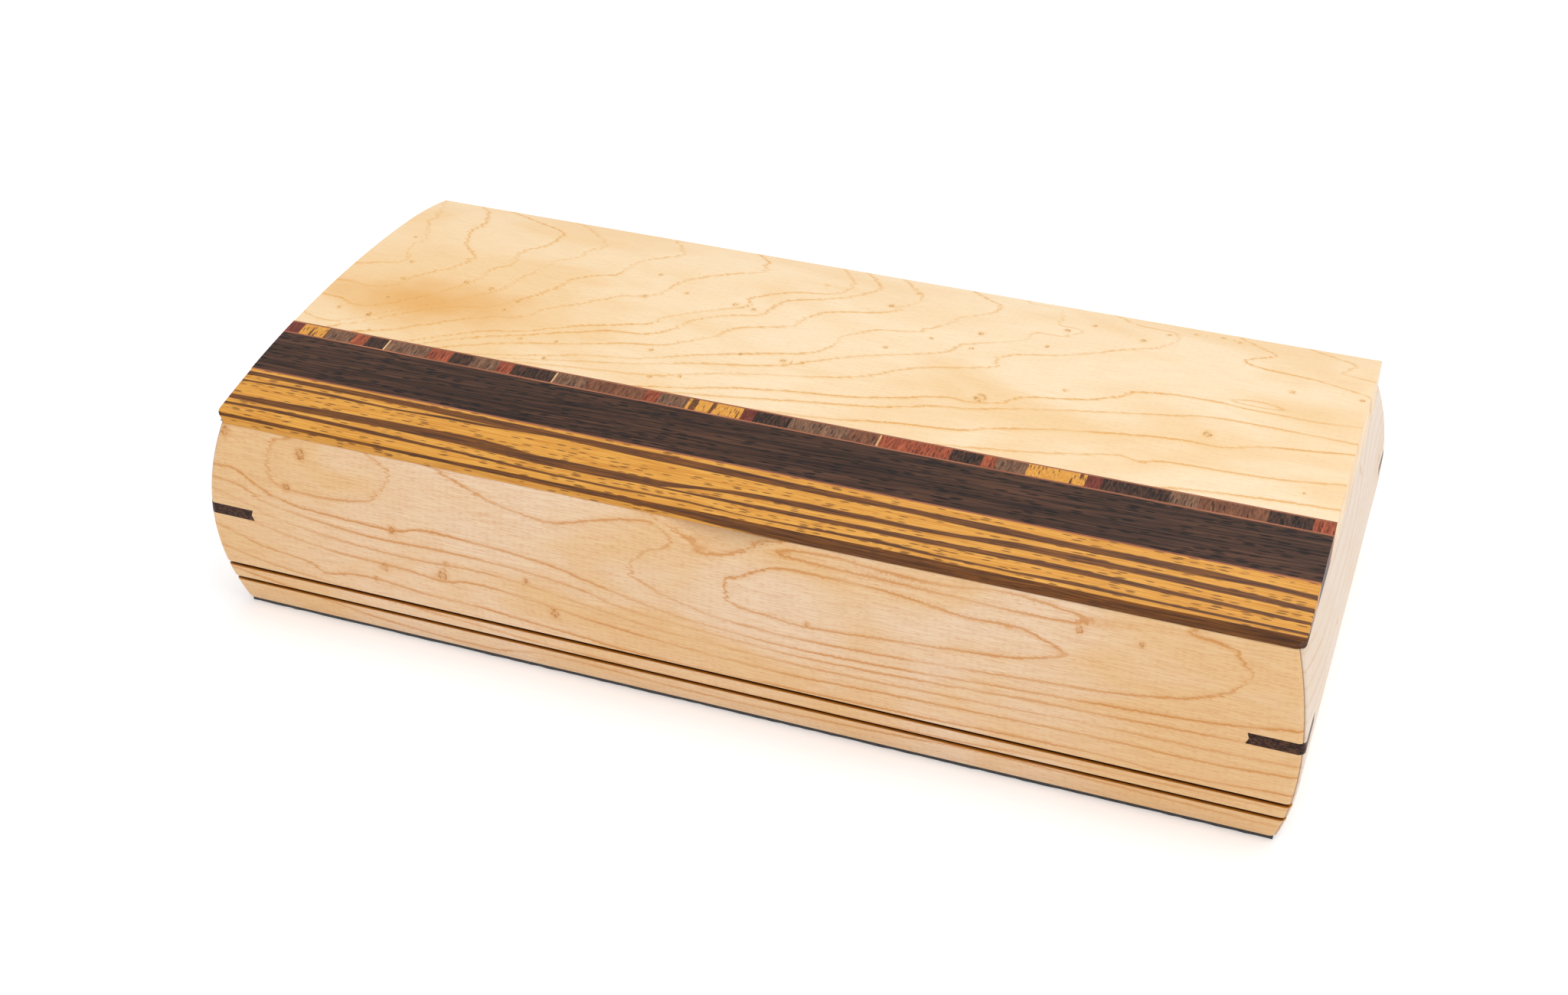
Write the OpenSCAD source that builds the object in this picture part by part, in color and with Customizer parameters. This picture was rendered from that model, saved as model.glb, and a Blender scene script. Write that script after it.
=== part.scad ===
// Figured maple box with a hinged crowned lid, made to hold a set of table knives.
// The origin is on the table under the middle of the box. X runs along its length,
// the front faces -Y and Z is up.

/* [Carcass] */
// Length of the carcass at its rim
rim_len = 294.4; // [260:0.2:340]
// Depth of the carcass at its rim, front to back
rim_depth = 140.3; // [130:0.1:170]
// Height of the four walls
wall_h = 57.2; // [50:0.1:62]
// Thickness of the board that each wall is cut from
wall_stock = 27; // [25:0.5:30]
// Radius of the bulged outer faces
bulge_r = 95; // [85:1:130]
// Depth below the rim at which the bulge is widest
bulge_drop = 31.1; // [28:0.1:34]
// Radius of the rounded upright corners
corner_r = 2; // [1:0.1:3]
// Radius of the outer bottom edge
foot_r = 1.5; // [0.8:0.1:2.5]
// Radius of the outer rim edge
rim_r = 0.8; // [0.4:0.1:1.2]

/* [Saw kerf lines] */
// Depth of the upper line below the rim
line_drop = 43.9; // [40:0.1:45]
// Distance from the upper line down to the lower one
line_pitch = 5.3; // [4:0.1:6]
// Width of each line
line_w = 1.3; // [1:0.1:2.4]
// Depth of each line below the face
line_depth = 2.4; // [1:0.1:2.5]

/* [Corner splines] */
// Thickness of a spline and of the saw kerf that it fills
spline_t = 3.2; // [2.4:0.1:5]
// Depth of the middle of the splines below the rim
spline_drop = 25.1; // [20:0.1:30]
// Length of a spline on each face, from the corner
spline_leg = 14.2; // [10:0.1:18]
// Height of the ridge that the saw teeth leave along the floor of the kerf
spline_ridge = 0.45; // [0.2:0.05:0.8]

/* [Finger scoop] */
// Width of the scoop at the rim
scoop_w = 33; // [26:0.5:40]
// Height of the scoop on the front face
scoop_h = 7.6; // [5:0.1:9]
// Slope of the scoop, from level
scoop_slope = 55; // [45:1:60]

/* [Bottom and lining] */
// Thickness of the bottom board
bottom_t = 6.35; // [5:0.05:8]
// Width of the rabbet that takes the bottom board
rabbet_w = 8; // [6:0.1:10]
// Thickness of the felt under the box
base_felt_t = 1.2; // [0.8:0.1:2]
// Distance from the rim line of the walls in to the edge of that felt
base_felt_inset = 2; // [1.5:0.1:4]
// Thickness of the felt on the floor inside
floor_felt_t = 1; // [0.6:0.1:1.6]

/* [Knife rests] */
// Number of knives
knives = 6; // [4:1:6]
// Distance between knives
knife_pitch = 15; // [14:0.1:15.5]
// Thickness of a rest
rest_t = 12; // [9:0.5:16]
// Height of a rest
rest_h = 26; // [22:0.5:30]
// Depth of the notches
notch_depth = 16; // [12:0.5:17]
// Width of a blade notch
blade_notch_w = 2.6; // [2:0.1:4]
// Width of a handle notch
handle_notch_w = 10; // [8:0.1:10.5]
// Distance from the left end of the rim to the middle of the blade rest
blade_rest_inset = 75.2; // [60:0.1:85]
// Distance from the right end of the rim to the middle of the handle rest
handle_rest_inset = 85.2; // [65:0.1:95]

/* [Lid] */
// Distance that the lid stands past the rim at each end
lid_end_lap = 0.8; // [0.2:0.1:2]
// Depth of the lid, front to back
lid_depth = 122.5; // [119:0.1:124]
// Thickness of the lid at its crown
crown_h = 17.7; // [17:0.1:20]
// Distance from the front of the lid to its crown
crown_y = 100; // [96:0.5:104]
// Radius of the crown forward of its highest line
crown_front_r = 340; // [330:1:400]
// Radius of the crown behind its highest line
crown_back_r = 130; // [110:1:200]
// Radius of the front edge of the lip
lip_r = 2; // [1:0.1:2.2]
// Radius of the upright front corners of the lid
lid_corner_r = 2.2; // [1:0.1:4]
// Radius of the upper back edge of the lid
lid_back_r = 1.2; // [0.5:0.1:2.5]

/* [Lid bands] */
// Width of the striped lip board
lip_w = 17.6; // [14:0.1:20]
// Width of the dark band
dark_band_w = 15.6; // [12:0.1:18]
// Width of the row of blocks
block_w = 4.3; // [3:0.1:6]
// Thickness of the thin lines between the bands
stringing_t = 0.5; // [0.4:0.05:1]

/* [Hinges] */
// Distance from each end of the rim to the middle of the hinge
hinge_inset = 55.2; // [48:0.1:75]
// Length of a hinge
hinge_len = 38; // [32:0.5:50]
// Width of a leaf, from the pin
leaf_w = 12; // [10.5:0.1:12.6]
// Thickness of a leaf
leaf_t = 1.5; // [1.2:0.1:1.8]
// Outer diameter of the knuckles
barrel_d = 4.4; // [4:0.1:5]
// Diameter of the pin
pin_d = 2.2; // [1.8:0.1:2.4]
// Number of knuckles on a hinge
knuckles = 5; // [3:2:7]
// Shank diameter of the screws
screw_d = 2.4; // [2:0.1:2.6]
// Head diameter of the screws
screw_head_d = 4.8; // [4.4:0.1:5.2]
// Length of the hinge screws
screw_len = 11; // [9:0.5:13]
// Length of the screws that hold the rests
rest_screw_len = 16; // [14:0.5:18]

/* [Clearances] */
// Gap round a board that is fitted into another
fit_gap = 0.1; // [0.05:0.05:0.3]
// Gap between the back of the lid and the pin line
pivot_gap = 0.2; // [0.15:0.05:0.4]
// Gap between knuckles, and round the barrel in the wood
knuckle_gap = 0.25; // [0.15:0.05:0.4]
// Gap round a pin or a screw in its hole
pin_gap = 0.08; // [0.05:0.01:0.12]

/* [Hidden] */
$fn = 64;
far = 20;

// Species and relative width of each block, from left to right
blocks = [
    ["rosewood", 44], ["zebrano", 83], ["grey", 81], ["padauk", 45], ["wenge", 60],
    ["maple", 5], ["grey", 131], ["padauk", 68], ["wenge", 64], ["grey", 80],
    ["padauk", 45], ["wenge", 126], ["maple", 5], ["grey", 91], ["walnut", 176],
    ["padauk", 42], ["grey", 82], ["zebrano", 158], ["rosewood", 37], ["wenge", 99],
    ["grey", 164], ["walnut", 83], ["maple", 5], ["padauk", 194], ["wenge", 85],
    ["padauk", 36], ["grey", 83], ["zebrano", 156], ["rosewood", 42], ["wenge", 174],
    ["grey", 74], ["walnut", 176], ["wenge", 112], ["padauk", 54]
];

// Outset of a bulged face from the rim line, at a depth below the rim
function outset(drop) = sqrt(pow(bulge_r, 2) - pow(drop - bulge_drop, 2))
    - sqrt(pow(bulge_r, 2) - pow(bulge_drop, 2));
bulge_max = outset(bulge_drop);
rim_wall = wall_stock - bulge_max;
inner_len = rim_len - 2 * rim_wall;
inner_depth = rim_depth - 2 * rim_wall;
blade_rest_x = rim_len / 2 - blade_rest_inset;
handle_rest_x = rim_len / 2 - handle_rest_inset;
hinge_x = rim_len / 2 - hinge_inset;
rim_z = base_felt_t + wall_h;
floor_z = base_felt_t + bottom_t;

lid_len = rim_len + 2 * lid_end_lap;
lid_front = -rim_depth / 2;
lid_back = lid_front + lid_depth;
front_line_y = lip_w;
dark_band_y = front_line_y + stringing_t;
middle_line_y = dark_band_y + dark_band_w;
blocks_y = middle_line_y + stringing_t;
back_line_y = blocks_y + block_w;
board_y = back_line_y + stringing_t;

pin_y = lid_back + pivot_gap;
barrel_r = barrel_d / 2;
knuckle_len = hinge_len / knuckles;
leaf_sink = 0.05;
screw_spread = hinge_len / 3;
screw_y = (leaf_w + barrel_r + knuckle_gap) / 2;
head_h = (screw_head_d - screw_d) / 2;
pin_head_r = barrel_r * 0.85;
pin_head_t = 0.8;
rest_screw_y = inner_depth / 3;

// Walls. Each is drawn with its outer rim edge along X at the origin, facing -Y.

// Cylinder that the outer face of a wall lies on
module face_round(len) {
    translate([0, bulge_r - bulge_max, -bulge_drop])
        rotate([0, 90, 0])
            cylinder(r = bulge_r, h = len + 2 * far, center = true, $fn = 256);
}

// What lies outside a face turned by the angle a from the wall, at the right corner
module corner_trim(len, a) {
    turn = sin(a) + cos(a);
    rise = turn * bulge_max;
    trim_r = (pow(bulge_drop, 2) + pow(rise, 2)) / (2 * rise);
    reach = len / 2 * sin(a) + rise - corner_r * (turn - 1);
    rotate([0, 0, a - 90])
        translate([reach, len / 2 * cos(a), 0])
            difference() {
                translate([-rise - 1, -far / 2, -wall_h - 1])
                    cube([rise + 6, far, wall_h + 2]);
                translate([-trim_r, 0, -bulge_drop])
                    rotate([90, 0, 0])
                        cylinder(r = trim_r, h = far + 2, center = true, $fn = 256);
            }
}

module corner_trims(len) {
    for (a = [22.5, 45, 67.5]) corner_trim(len, a);
}

// Saw kerf across the right corner, with the ridge that the teeth leave in its floor
module kerf(len) {
    p = outset(spline_drop);
    translate([len / 2 + p, -p, -spline_drop])
        rotate([0, 0, -45])
            translate([-spline_leg / sqrt(2), 0, 0])
                rotate([90, 0, 0])
                    linear_extrude(height = 2 * spline_leg, center = true)
                        polygon([[0, -spline_t / 2], [spline_ridge, 0], [0, spline_t / 2],
                                 [spline_leg, spline_t / 2], [spline_leg, -spline_t / 2]]);
}

// What a rounding of radius r takes off the outer edge at height edge_z.
// The wood lies below that edge when side is 1 and above it when side is -1.
module edge_waste(len, edge_z, r, side) {
    mid_y = bulge_r - bulge_max;
    cz = edge_z - side * r;
    cy = mid_y - sqrt(pow(bulge_r - r, 2) - pow(cz + bulge_drop, 2));
    touch_z = -bulge_drop + (cz + bulge_drop) * bulge_r / (bulge_r - r);
    height = abs(edge_z - touch_z) + 1;
    difference() {
        translate([-len / 2 - far, -far, side > 0 ? touch_z : touch_z - height])
            cube([len + 2 * far, far + cy, height]);
        translate([0, cy, cz])
            rotate([0, 90, 0])
                cylinder(r = r, h = len + 3 * far, center = true);
    }
}

// A mitred wall with its bulge, kerf lines, corner kerfs and rabbet
module wall(len) {
    difference() {
        intersection() {
            translate([0, 0, -wall_h])
                linear_extrude(height = wall_h)
                    polygon([[-len / 2 - far, -far], [len / 2 + far, -far],
                             [len / 2 - rim_wall, rim_wall], [-len / 2 + rim_wall, rim_wall]]);
            face_round(len);
        }
        for (side = [0, 1])
            mirror([side, 0, 0]) {
                corner_trims(len);
                kerf(len);
            }
        for (drop = [line_drop, line_drop + line_pitch])
            translate([-len / 2 - far, -far, -drop - line_w / 2])
                cube([len + 2 * far, far - outset(drop) + line_depth, line_w]);
        edge_waste(len, 0, rim_r, 1);
        edge_waste(len, -wall_h, foot_r, -1);
        translate([-len / 2, rim_wall - rabbet_w, -wall_h - 1])
            cube([len, rabbet_w + 1, bottom_t + 1]);
    }
}

// Thin wedge of dark wood that fills a corner kerf flush with both faces
module spline(len) {
    color("#3b2a22")
        difference() {
            intersection() {
                kerf(len);
                face_round(len);
                translate([len / 2, 0, 0])
                    rotate([0, 0, 90])
                        face_round(len);
            }
            corner_trims(len);
        }
}

module at_front() {
    translate([0, -rim_depth / 2, rim_z]) children();
}

module at_back() {
    translate([0, rim_depth / 2, rim_z]) rotate([0, 0, 180]) children();
}

module front_panel() {
    color("#e6c79c")
        difference() {
            at_front() wall(rim_len);
            finger_scoop();
        }
}

// Shallow cove that a drum, laid back at the scoop's slope, leaves in the upper front edge
module finger_scoop() {
    low = outset(scoop_h);
    sag = scoop_h * cos(scoop_slope) - low * sin(scoop_slope);
    drum_r = (pow(scoop_w / 2, 2) + pow(sag, 2)) / (2 * sag);
    at_front()
        translate([0, -low, -scoop_h])
            rotate([scoop_slope, 0, 0])
                translate([0, 0, drum_r])
                    rotate([90, 0, 0])
                        cylinder(r = drum_r, h = 2 * drum_r, center = true, $fn = 256);
}

module back_panel() {
    color("#e6c79c")
        difference() {
            at_back() wall(rim_len);
            at_hinges() body_recess();
        }
}

module left_end_panel() {
    color("#f0dcc0")
        translate([-rim_len / 2, 0, rim_z]) rotate([0, 0, -90]) wall(rim_depth);
}

module right_end_panel() {
    color("#f0dcc0")
        translate([rim_len / 2, 0, rim_z]) rotate([0, 0, 90]) wall(rim_depth);
}

module spline_front_left() {
    at_front() mirror([1, 0, 0]) spline(rim_len);
}

module spline_front_right() {
    at_front() spline(rim_len);
}

module spline_back_left() {
    at_back() spline(rim_len);
}

module spline_back_right() {
    at_back() mirror([1, 0, 0]) spline(rim_len);
}

// Bottom, felts and knife rests

module bottom_panel() {
    color("#e9d3b0")
        translate([0, 0, base_felt_t])
            difference() {
                translate([0, 0, bottom_t / 2])
                    cube([inner_len + 2 * (rabbet_w - fit_gap),
                          inner_depth + 2 * (rabbet_w - fit_gap), bottom_t], center = true);
                at_rest_screws() screw_hole(rest_screw_len);
            }
}

module base_felt() {
    color("#17161a")
        translate([0, 0, base_felt_t / 2])
            cube([rim_len - 2 * base_felt_inset, rim_depth - 2 * base_felt_inset, base_felt_t],
                 center = true);
}

// Three pieces of felt, one on each side of the rests and one between them
module floor_lining() {
    edges = [-inner_len / 2, -blade_rest_x - rest_t / 2, -blade_rest_x + rest_t / 2,
             handle_rest_x - rest_t / 2, handle_rest_x + rest_t / 2, inner_len / 2];
    color("#2c2b30")
        for (i = [0, 2, 4])
            translate([edges[i] + fit_gap, -inner_depth / 2 + fit_gap, floor_z])
                cube([edges[i + 1] - edges[i] - 2 * fit_gap, inner_depth - 2 * fit_gap,
                      floor_felt_t]);
}

// A rest stands across the box with a round-bottomed notch for each knife
module rest(x, notch_w) {
    color("#d9b98c")
        translate([x, 0, floor_z])
            difference() {
                translate([-rest_t / 2, -inner_depth / 2 + fit_gap, 0])
                    cube([rest_t, inner_depth - 2 * fit_gap, rest_h]);
                for (i = [0 : knives - 1])
                    translate([0, (i - (knives - 1) / 2) * knife_pitch, 0]) {
                        translate([0, 0, rest_h - notch_depth + notch_w / 2])
                            rotate([0, 90, 0])
                                cylinder(d = notch_w, h = rest_t + 2, center = true);
                        translate([-rest_t / 2 - 1, -notch_w / 2,
                                   rest_h - notch_depth + notch_w / 2])
                            cube([rest_t + 2, notch_w, notch_depth]);
                    }
                for (side = [-1, 1])
                    translate([0, side * rest_screw_y, -bottom_t])
                        screw_hole(rest_screw_len);
            }
}

module blade_rest() {
    rest(-blade_rest_x, blade_notch_w);
}

module handle_rest() {
    rest(handle_rest_x, handle_notch_w);
}

module at_rest_screws() {
    for (x = [-blade_rest_x, handle_rest_x], side = [-1, 1])
        translate([x, side * rest_screw_y, 0]) children();
}

module rest_screws() {
    color("#b08d57")
        translate([0, 0, base_felt_t])
            at_rest_screws() screw(rest_screw_len);
}

// Countersunk slotted screw, pointing up from its head at the origin
module screw(len) {
    slot_w = 0.7;
    slot_depth = 0.6;
    difference() {
        union() {
            cylinder(d1 = screw_head_d, d2 = screw_d, h = head_h);
            cylinder(d = screw_d, h = len - screw_d);
            translate([0, 0, len - screw_d])
                cylinder(d1 = screw_d, d2 = 0.4, h = screw_d);
        }
        translate([-screw_head_d / 2, -slot_w / 2, -1])
            cube([screw_head_d, slot_w, slot_depth + 1]);
    }
}

// Room for such a screw
module screw_hole(len) {
    translate([0, 0, -1])
        cylinder(d = screw_head_d + 2 * pin_gap, h = 1 + pin_gap);
    translate([0, 0, pin_gap])
        cylinder(d1 = screw_head_d + 2 * pin_gap, d2 = screw_d + 2 * pin_gap, h = head_h);
    cylinder(d = screw_d + 2 * pin_gap, h = len + pin_gap);
}

// Lid

// Wood of the lid between two lines across it, measured from its front
module lid_strip(from, to, x0 = -lid_len / 2, x1 = lid_len / 2) {
    translate([0, lid_front, rim_z]) {
        if (from < crown_y)
            intersection() {
                translate([x0, from, 0])
                    cube([x1 - x0, min(to, crown_y) - from, crown_h + 1]);
                translate([0, crown_y, crown_h - crown_front_r])
                    rotate([0, 90, 0])
                        cylinder(r = crown_front_r, h = lid_len + far, center = true, $fn = 512);
            }
        if (to > crown_y)
            intersection() {
                translate([x0, max(from, crown_y), 0])
                    cube([x1 - x0, to - max(from, crown_y), crown_h + 1]);
                translate([0, crown_y, crown_h - crown_back_r])
                    rotate([0, 90, 0])
                        cylinder(r = crown_back_r, h = lid_len + far, center = true, $fn = 512);
            }
    }
}

// Waste outside the rounded upper edge of the lid, at its front or its back
module lid_edge_waste(edge, r, crown_r, side) {
    cy = edge - side * r;
    mid_z = crown_h - crown_r;
    cz = mid_z + sqrt(pow(crown_r - r, 2) - pow(cy - crown_y, 2));
    touch_y = crown_y + (cy - crown_y) * crown_r / (crown_r - r);
    depth = abs(edge - touch_y) + 1;
    translate([0, lid_front, rim_z])
        difference() {
            translate([-lid_len, side > 0 ? touch_y : touch_y - depth, cz])
                cube([2 * lid_len, depth, crown_h]);
            translate([0, cy, cz])
                rotate([0, 90, 0])
                    cylinder(r = r, h = 3 * lid_len, center = true);
        }
}

module lid_board() {
    color("#f3dfb4")
        difference() {
            lid_strip(board_y, lid_depth);
            lid_edge_waste(lid_depth, lid_back_r, crown_back_r, 1);
            at_hinges() lid_recess();
        }
}

module lip_board() {
    color("#c98f35")
        difference() {
            lid_strip(0, lip_w);
            lid_edge_waste(0, lip_r, crown_front_r, -1);
            for (side = [0, 1])
                mirror([side, 0, 0])
                    translate([lid_len / 2 - lid_corner_r, lid_front + lid_corner_r, rim_z - 1])
                        difference() {
                            translate([0, -far, 0]) cube([far, far, crown_h]);
                            cylinder(r = lid_corner_r, h = 3 * crown_h, center = true);
                        }
        }
}

module dark_band() {
    color("#46302a") lid_strip(dark_band_y, dark_band_y + dark_band_w);
}

module stringing(y) {
    color("#8c5140") lid_strip(y, y + stringing_t);
}

// Sum of the first n relative block widths
function block_sum(n) = n == 0 ? 0 : blocks[n - 1][1] + block_sum(n - 1);
function block_x(n) = lid_len * (block_sum(n) / block_sum(len(blocks)) - 1 / 2);

// Every block of one species, each a piece of its own
module block_row(species, shade) {
    color(shade)
        for (i = [0 : len(blocks) - 1])
            if (blocks[i][0] == species)
                lid_strip(blocks_y, blocks_y + block_w, block_x(i), block_x(i + 1));
}

// Hinges. Each is drawn with its pin along X at the origin and the lid closed.

module at_hinges() {
    for (side = [-1, 1])
        translate([side * hinge_x, pin_y, rim_z]) children();
}

// Lengths of the barrel that belong to one leaf, first = 0 for the body and 1 for the lid
module barrel_part(first, r, gap) {
    for (i = [first : 2 : knuckles - 1])
        translate([-hinge_len / 2 + i * knuckle_len + gap / 2, 0, 0])
            rotate([0, 90, 0])
                cylinder(r = r, h = knuckle_len - gap);
}

module pin_bore() {
    rotate([0, 90, 0])
        cylinder(d = pin_d + 2 * pin_gap, h = 2 * hinge_len, center = true);
}

// Leaf on the ledge behind the lid, with the outer knuckles
module body_leaf() {
    color("#b5903c")
        difference() {
            union() {
                translate([-hinge_len / 2, 0, -leaf_t - leaf_sink])
                    cube([hinge_len, leaf_w, leaf_t]);
                barrel_part(0, barrel_r, knuckle_gap);
            }
            barrel_part(1, barrel_r + knuckle_gap, -knuckle_gap);
            pin_bore();
            at_leaf_screws() screw_hole(screw_len);
        }
}

// Leaf on the back of the lid, with the inner knuckles
module lid_leaf() {
    color("#b5903c")
        difference() {
            union() {
                translate([-hinge_len / 2, -pivot_gap - leaf_sink - leaf_t, 0])
                    cube([hinge_len, leaf_t, leaf_w]);
                barrel_part(1, barrel_r, knuckle_gap);
            }
            barrel_part(0, barrel_r + knuckle_gap, -knuckle_gap);
            pin_bore();
            at_lid_leaf_screws() screw_hole(screw_len);
        }
}

module hinge_pin() {
    color("#9c7a30")
        rotate([0, 90, 0]) {
            cylinder(d = pin_d, h = hinge_len, center = true);
            for (side = [0, 1])
                mirror([0, 0, side])
                    translate([0, 0, hinge_len / 2])
                        cylinder(r1 = pin_head_r, r2 = pin_head_r * 0.7, h = pin_head_t);
        }
}

// Three screws down into the ledge
module at_leaf_screws() {
    for (i = [-1, 0, 1])
        translate([i * screw_spread, screw_y, -leaf_sink - pin_gap])
            rotate([180, 0, 0]) children();
}

// Three screws forward into the lid
module at_lid_leaf_screws() {
    for (i = [-1, 0, 1])
        translate([i * screw_spread, -pivot_gap - leaf_sink - pin_gap, screw_y])
            rotate([90, 0, 0]) children();
}

// Room for the barrel in the wood of the wall and the lid
module barrel_room() {
    rotate([0, 90, 0])
        cylinder(r = barrel_r + knuckle_gap, h = hinge_len + 2 * (pin_head_t + knuckle_gap),
                 center = true);
}

module body_recess() {
    barrel_room();
    translate([-hinge_len / 2 - fit_gap, 0, -leaf_t - leaf_sink])
        cube([hinge_len + 2 * fit_gap, leaf_w + fit_gap, leaf_t + 1]);
    at_leaf_screws() screw_hole(screw_len);
}

module lid_recess() {
    barrel_room();
    translate([-hinge_len / 2 - fit_gap, -pivot_gap - leaf_sink - leaf_t, -1])
        cube([hinge_len + 2 * fit_gap, leaf_t + 1, leaf_w + fit_gap + 1]);
    at_lid_leaf_screws() screw_hole(screw_len);
}

module at_hinge(side) {
    translate([side * hinge_x, pin_y, rim_z]) children();
}

module hinge_body_screws() {
    color("#b08d57") at_hinges() at_leaf_screws() screw(screw_len);
}

module hinge_lid_screws() {
    color("#b08d57") at_hinges() at_lid_leaf_screws() screw(screw_len);
}

front_panel();
back_panel();
left_end_panel();
right_end_panel();
spline_front_left();
spline_front_right();
spline_back_left();
spline_back_right();
bottom_panel();
base_felt();
floor_lining();
blade_rest();
handle_rest();
rest_screws();
at_hinge(-1) body_leaf();  // hinge_left_body_leaf
at_hinge(1) body_leaf();  // hinge_right_body_leaf
at_hinge(-1) hinge_pin();  // hinge_left_pin
at_hinge(1) hinge_pin();  // hinge_right_pin
hinge_body_screws();
lid_board();
lip_board();
dark_band();
stringing(front_line_y);  // stringing_front
stringing(middle_line_y);  // stringing_middle
stringing(back_line_y);  // stringing_back
block_row("rosewood", "#7a3b35");  // blocks_rosewood
block_row("zebrano", "#d9a63c");  // blocks_zebrano
block_row("grey", "#756253");  // blocks_grey
block_row("padauk", "#b5512f");  // blocks_padauk
block_row("wenge", "#3d2c27");  // blocks_wenge
block_row("maple", "#d9b07a");  // blocks_maple
block_row("walnut", "#85583c");  // blocks_walnut
at_hinge(-1) lid_leaf();  // hinge_left_lid_leaf
at_hinge(1) lid_leaf();  // hinge_right_lid_leaf
hinge_lid_screws();
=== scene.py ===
"""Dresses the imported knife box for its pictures: camera, studio, boards, bands, brass and felt.

Sizes in the fields below are in millimetres and become metres where a mesh is made.
"""
import logging
import math
from dataclasses import dataclass, field
from enum import Enum
from typing import Callable, Optional, Sequence

import bmesh
import bpy
import numpy as np
from mathutils import Matrix, Vector


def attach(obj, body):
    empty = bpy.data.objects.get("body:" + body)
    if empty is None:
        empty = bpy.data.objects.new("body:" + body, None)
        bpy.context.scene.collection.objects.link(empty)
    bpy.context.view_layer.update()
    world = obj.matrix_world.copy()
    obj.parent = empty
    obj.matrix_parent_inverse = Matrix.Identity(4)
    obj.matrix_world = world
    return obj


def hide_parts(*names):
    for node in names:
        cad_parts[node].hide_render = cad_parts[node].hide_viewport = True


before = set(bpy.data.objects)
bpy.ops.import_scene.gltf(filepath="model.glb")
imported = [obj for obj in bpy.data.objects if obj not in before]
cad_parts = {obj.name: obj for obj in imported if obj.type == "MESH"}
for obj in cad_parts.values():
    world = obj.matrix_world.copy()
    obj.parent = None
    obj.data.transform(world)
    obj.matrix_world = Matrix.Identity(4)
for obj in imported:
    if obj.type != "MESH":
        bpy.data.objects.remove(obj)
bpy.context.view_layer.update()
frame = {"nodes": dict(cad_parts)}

MM = 0.001

Point = tuple[float, float]
Colour = tuple[float, float, float, float]

log = logging.getLogger("knife_box")


class Side(Enum):
    """The four walls, each with the turn from the front wall in degrees."""

    FRONT = 0.0
    RIGHT = 90.0
    BACK = 180.0
    LEFT = -90.0


class Grain(Enum):
    """Direction of the fibres on a piece."""

    ALONG_X = "x"
    ALONG_Y = "y"


def shade(red: float, green: float, blue: float) -> Colour:
    """Turns a colour as seen on a screen into the scene's linear values.

    Args:
        red: Red from 0 to 255.
        green: Green from 0 to 255.
        blue: Blue from 0 to 255.

    Returns:
        The linear colour with full alpha.
    """

    def linear(value: float) -> float:
        """Linear value of one channel."""
        part = value / 255
        return part / 12.92 if part <= 0.04045 else ((part + 0.055) / 1.055) ** 2.4

    return (linear(red), linear(green), linear(blue), 1.0)


def smooth_line(points: Sequence[Point], steps: int = 6, closed: bool = False) -> np.ndarray:
    """Draws a smooth curve through given points.

    Args:
        points: The points that the curve passes.
        steps: Pieces between two points.
        closed: Whether the curve returns to its start.

    Returns:
        The curve as an array of points.
    """
    given = np.array(points, float)
    if closed:
        given = np.vstack([given[-1], given, given[0], given[1]])
    else:
        given = np.vstack([2 * given[0] - given[1], given, 2 * given[-1] - given[-2]])
    curve = []
    for before, start, end, after in zip(given, given[1:], given[2:], given[3:]):
        for step in range(steps):
            t = step / steps
            curve.append(
                0.5
                * (
                    2 * start
                    + (end - before) * t
                    + (2 * before - 5 * start + 4 * end - after) * t**2
                    + (3 * start - before - 3 * end + after) * t**3
                )
            )
    curve.append(given[-2])
    return np.array(curve)


def side_distance(places: np.ndarray, curve: np.ndarray) -> np.ndarray:
    """Measures how far places lie from a curve, with a sign for the side.

    Args:
        places: Points on a board, one row each.
        curve: The curve's points, in order.

    Returns:
        The distances, positive to the left of the curve.
    """
    best = np.full(len(places), 1e9)
    signed = np.zeros(len(places))
    for start, end in zip(curve, curve[1:]):
        along = end - start
        length = float(np.hypot(*along))
        if length < 1e-9:
            continue
        from_start = places - start
        part = np.clip(from_start @ along / length**2, 0, 1)
        gap = from_start - part[:, None] * along
        distance = np.hypot(gap[:, 0], gap[:, 1])
        side = np.sign(along[0] * from_start[:, 1] - along[1] * from_start[:, 0])
        nearer = distance < best - 1e-7
        best = np.where(nearer, distance, best)
        signed = np.where(nearer, side * distance, signed)
    return signed


@dataclass(frozen=True)
class GrowthLines:
    """Growth lines of one board face, as curves drawn on it."""

    open_lines: tuple[tuple[Point, ...], ...]
    closed_lines: tuple[tuple[Point, ...], ...] = ()
    reach: float = 2.0
    overrun: float = 60.0

    def rings(self, places: np.ndarray) -> np.ndarray:
        """Counts the lines passed at each place, rising by one across every line.

        Args:
            places: Points on the face, one row each.

        Returns:
            The count, which is a whole number and a half exactly on a line.
        """
        total = np.zeros(len(places))
        for line in self.open_lines:
            curve = smooth_line(line)
            head = curve[0] + (curve[0] - curve[2]) / np.hypot(*(curve[0] - curve[2])) * self.overrun
            tail = curve[-1] + (curve[-1] - curve[-3]) / np.hypot(*(curve[-1] - curve[-3])) * self.overrun
            curve = np.vstack([head, curve, tail])
            total += np.clip(0.5 + side_distance(places, curve) / (2 * self.reach), 0, 1)
        for line in self.closed_lines:
            curve = smooth_line(line, closed=True)
            total += np.clip(0.5 + side_distance(places, curve) / (2 * self.reach), 0, 1)
        return total

    def drift(self, places: np.ndarray, step: float = 0.4) -> np.ndarray:
        """Measures how fast the line count changes along the fibres.

        Args:
            places: Points on the face, one row each.
            step: Half the distance over which it is measured.

        Returns:
            Lines per millimetre along the fibres.
        """
        move = np.array([step, 0.0])
        return (self.rings(places + move) - self.rings(places - move)) / (2 * step)


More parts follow.
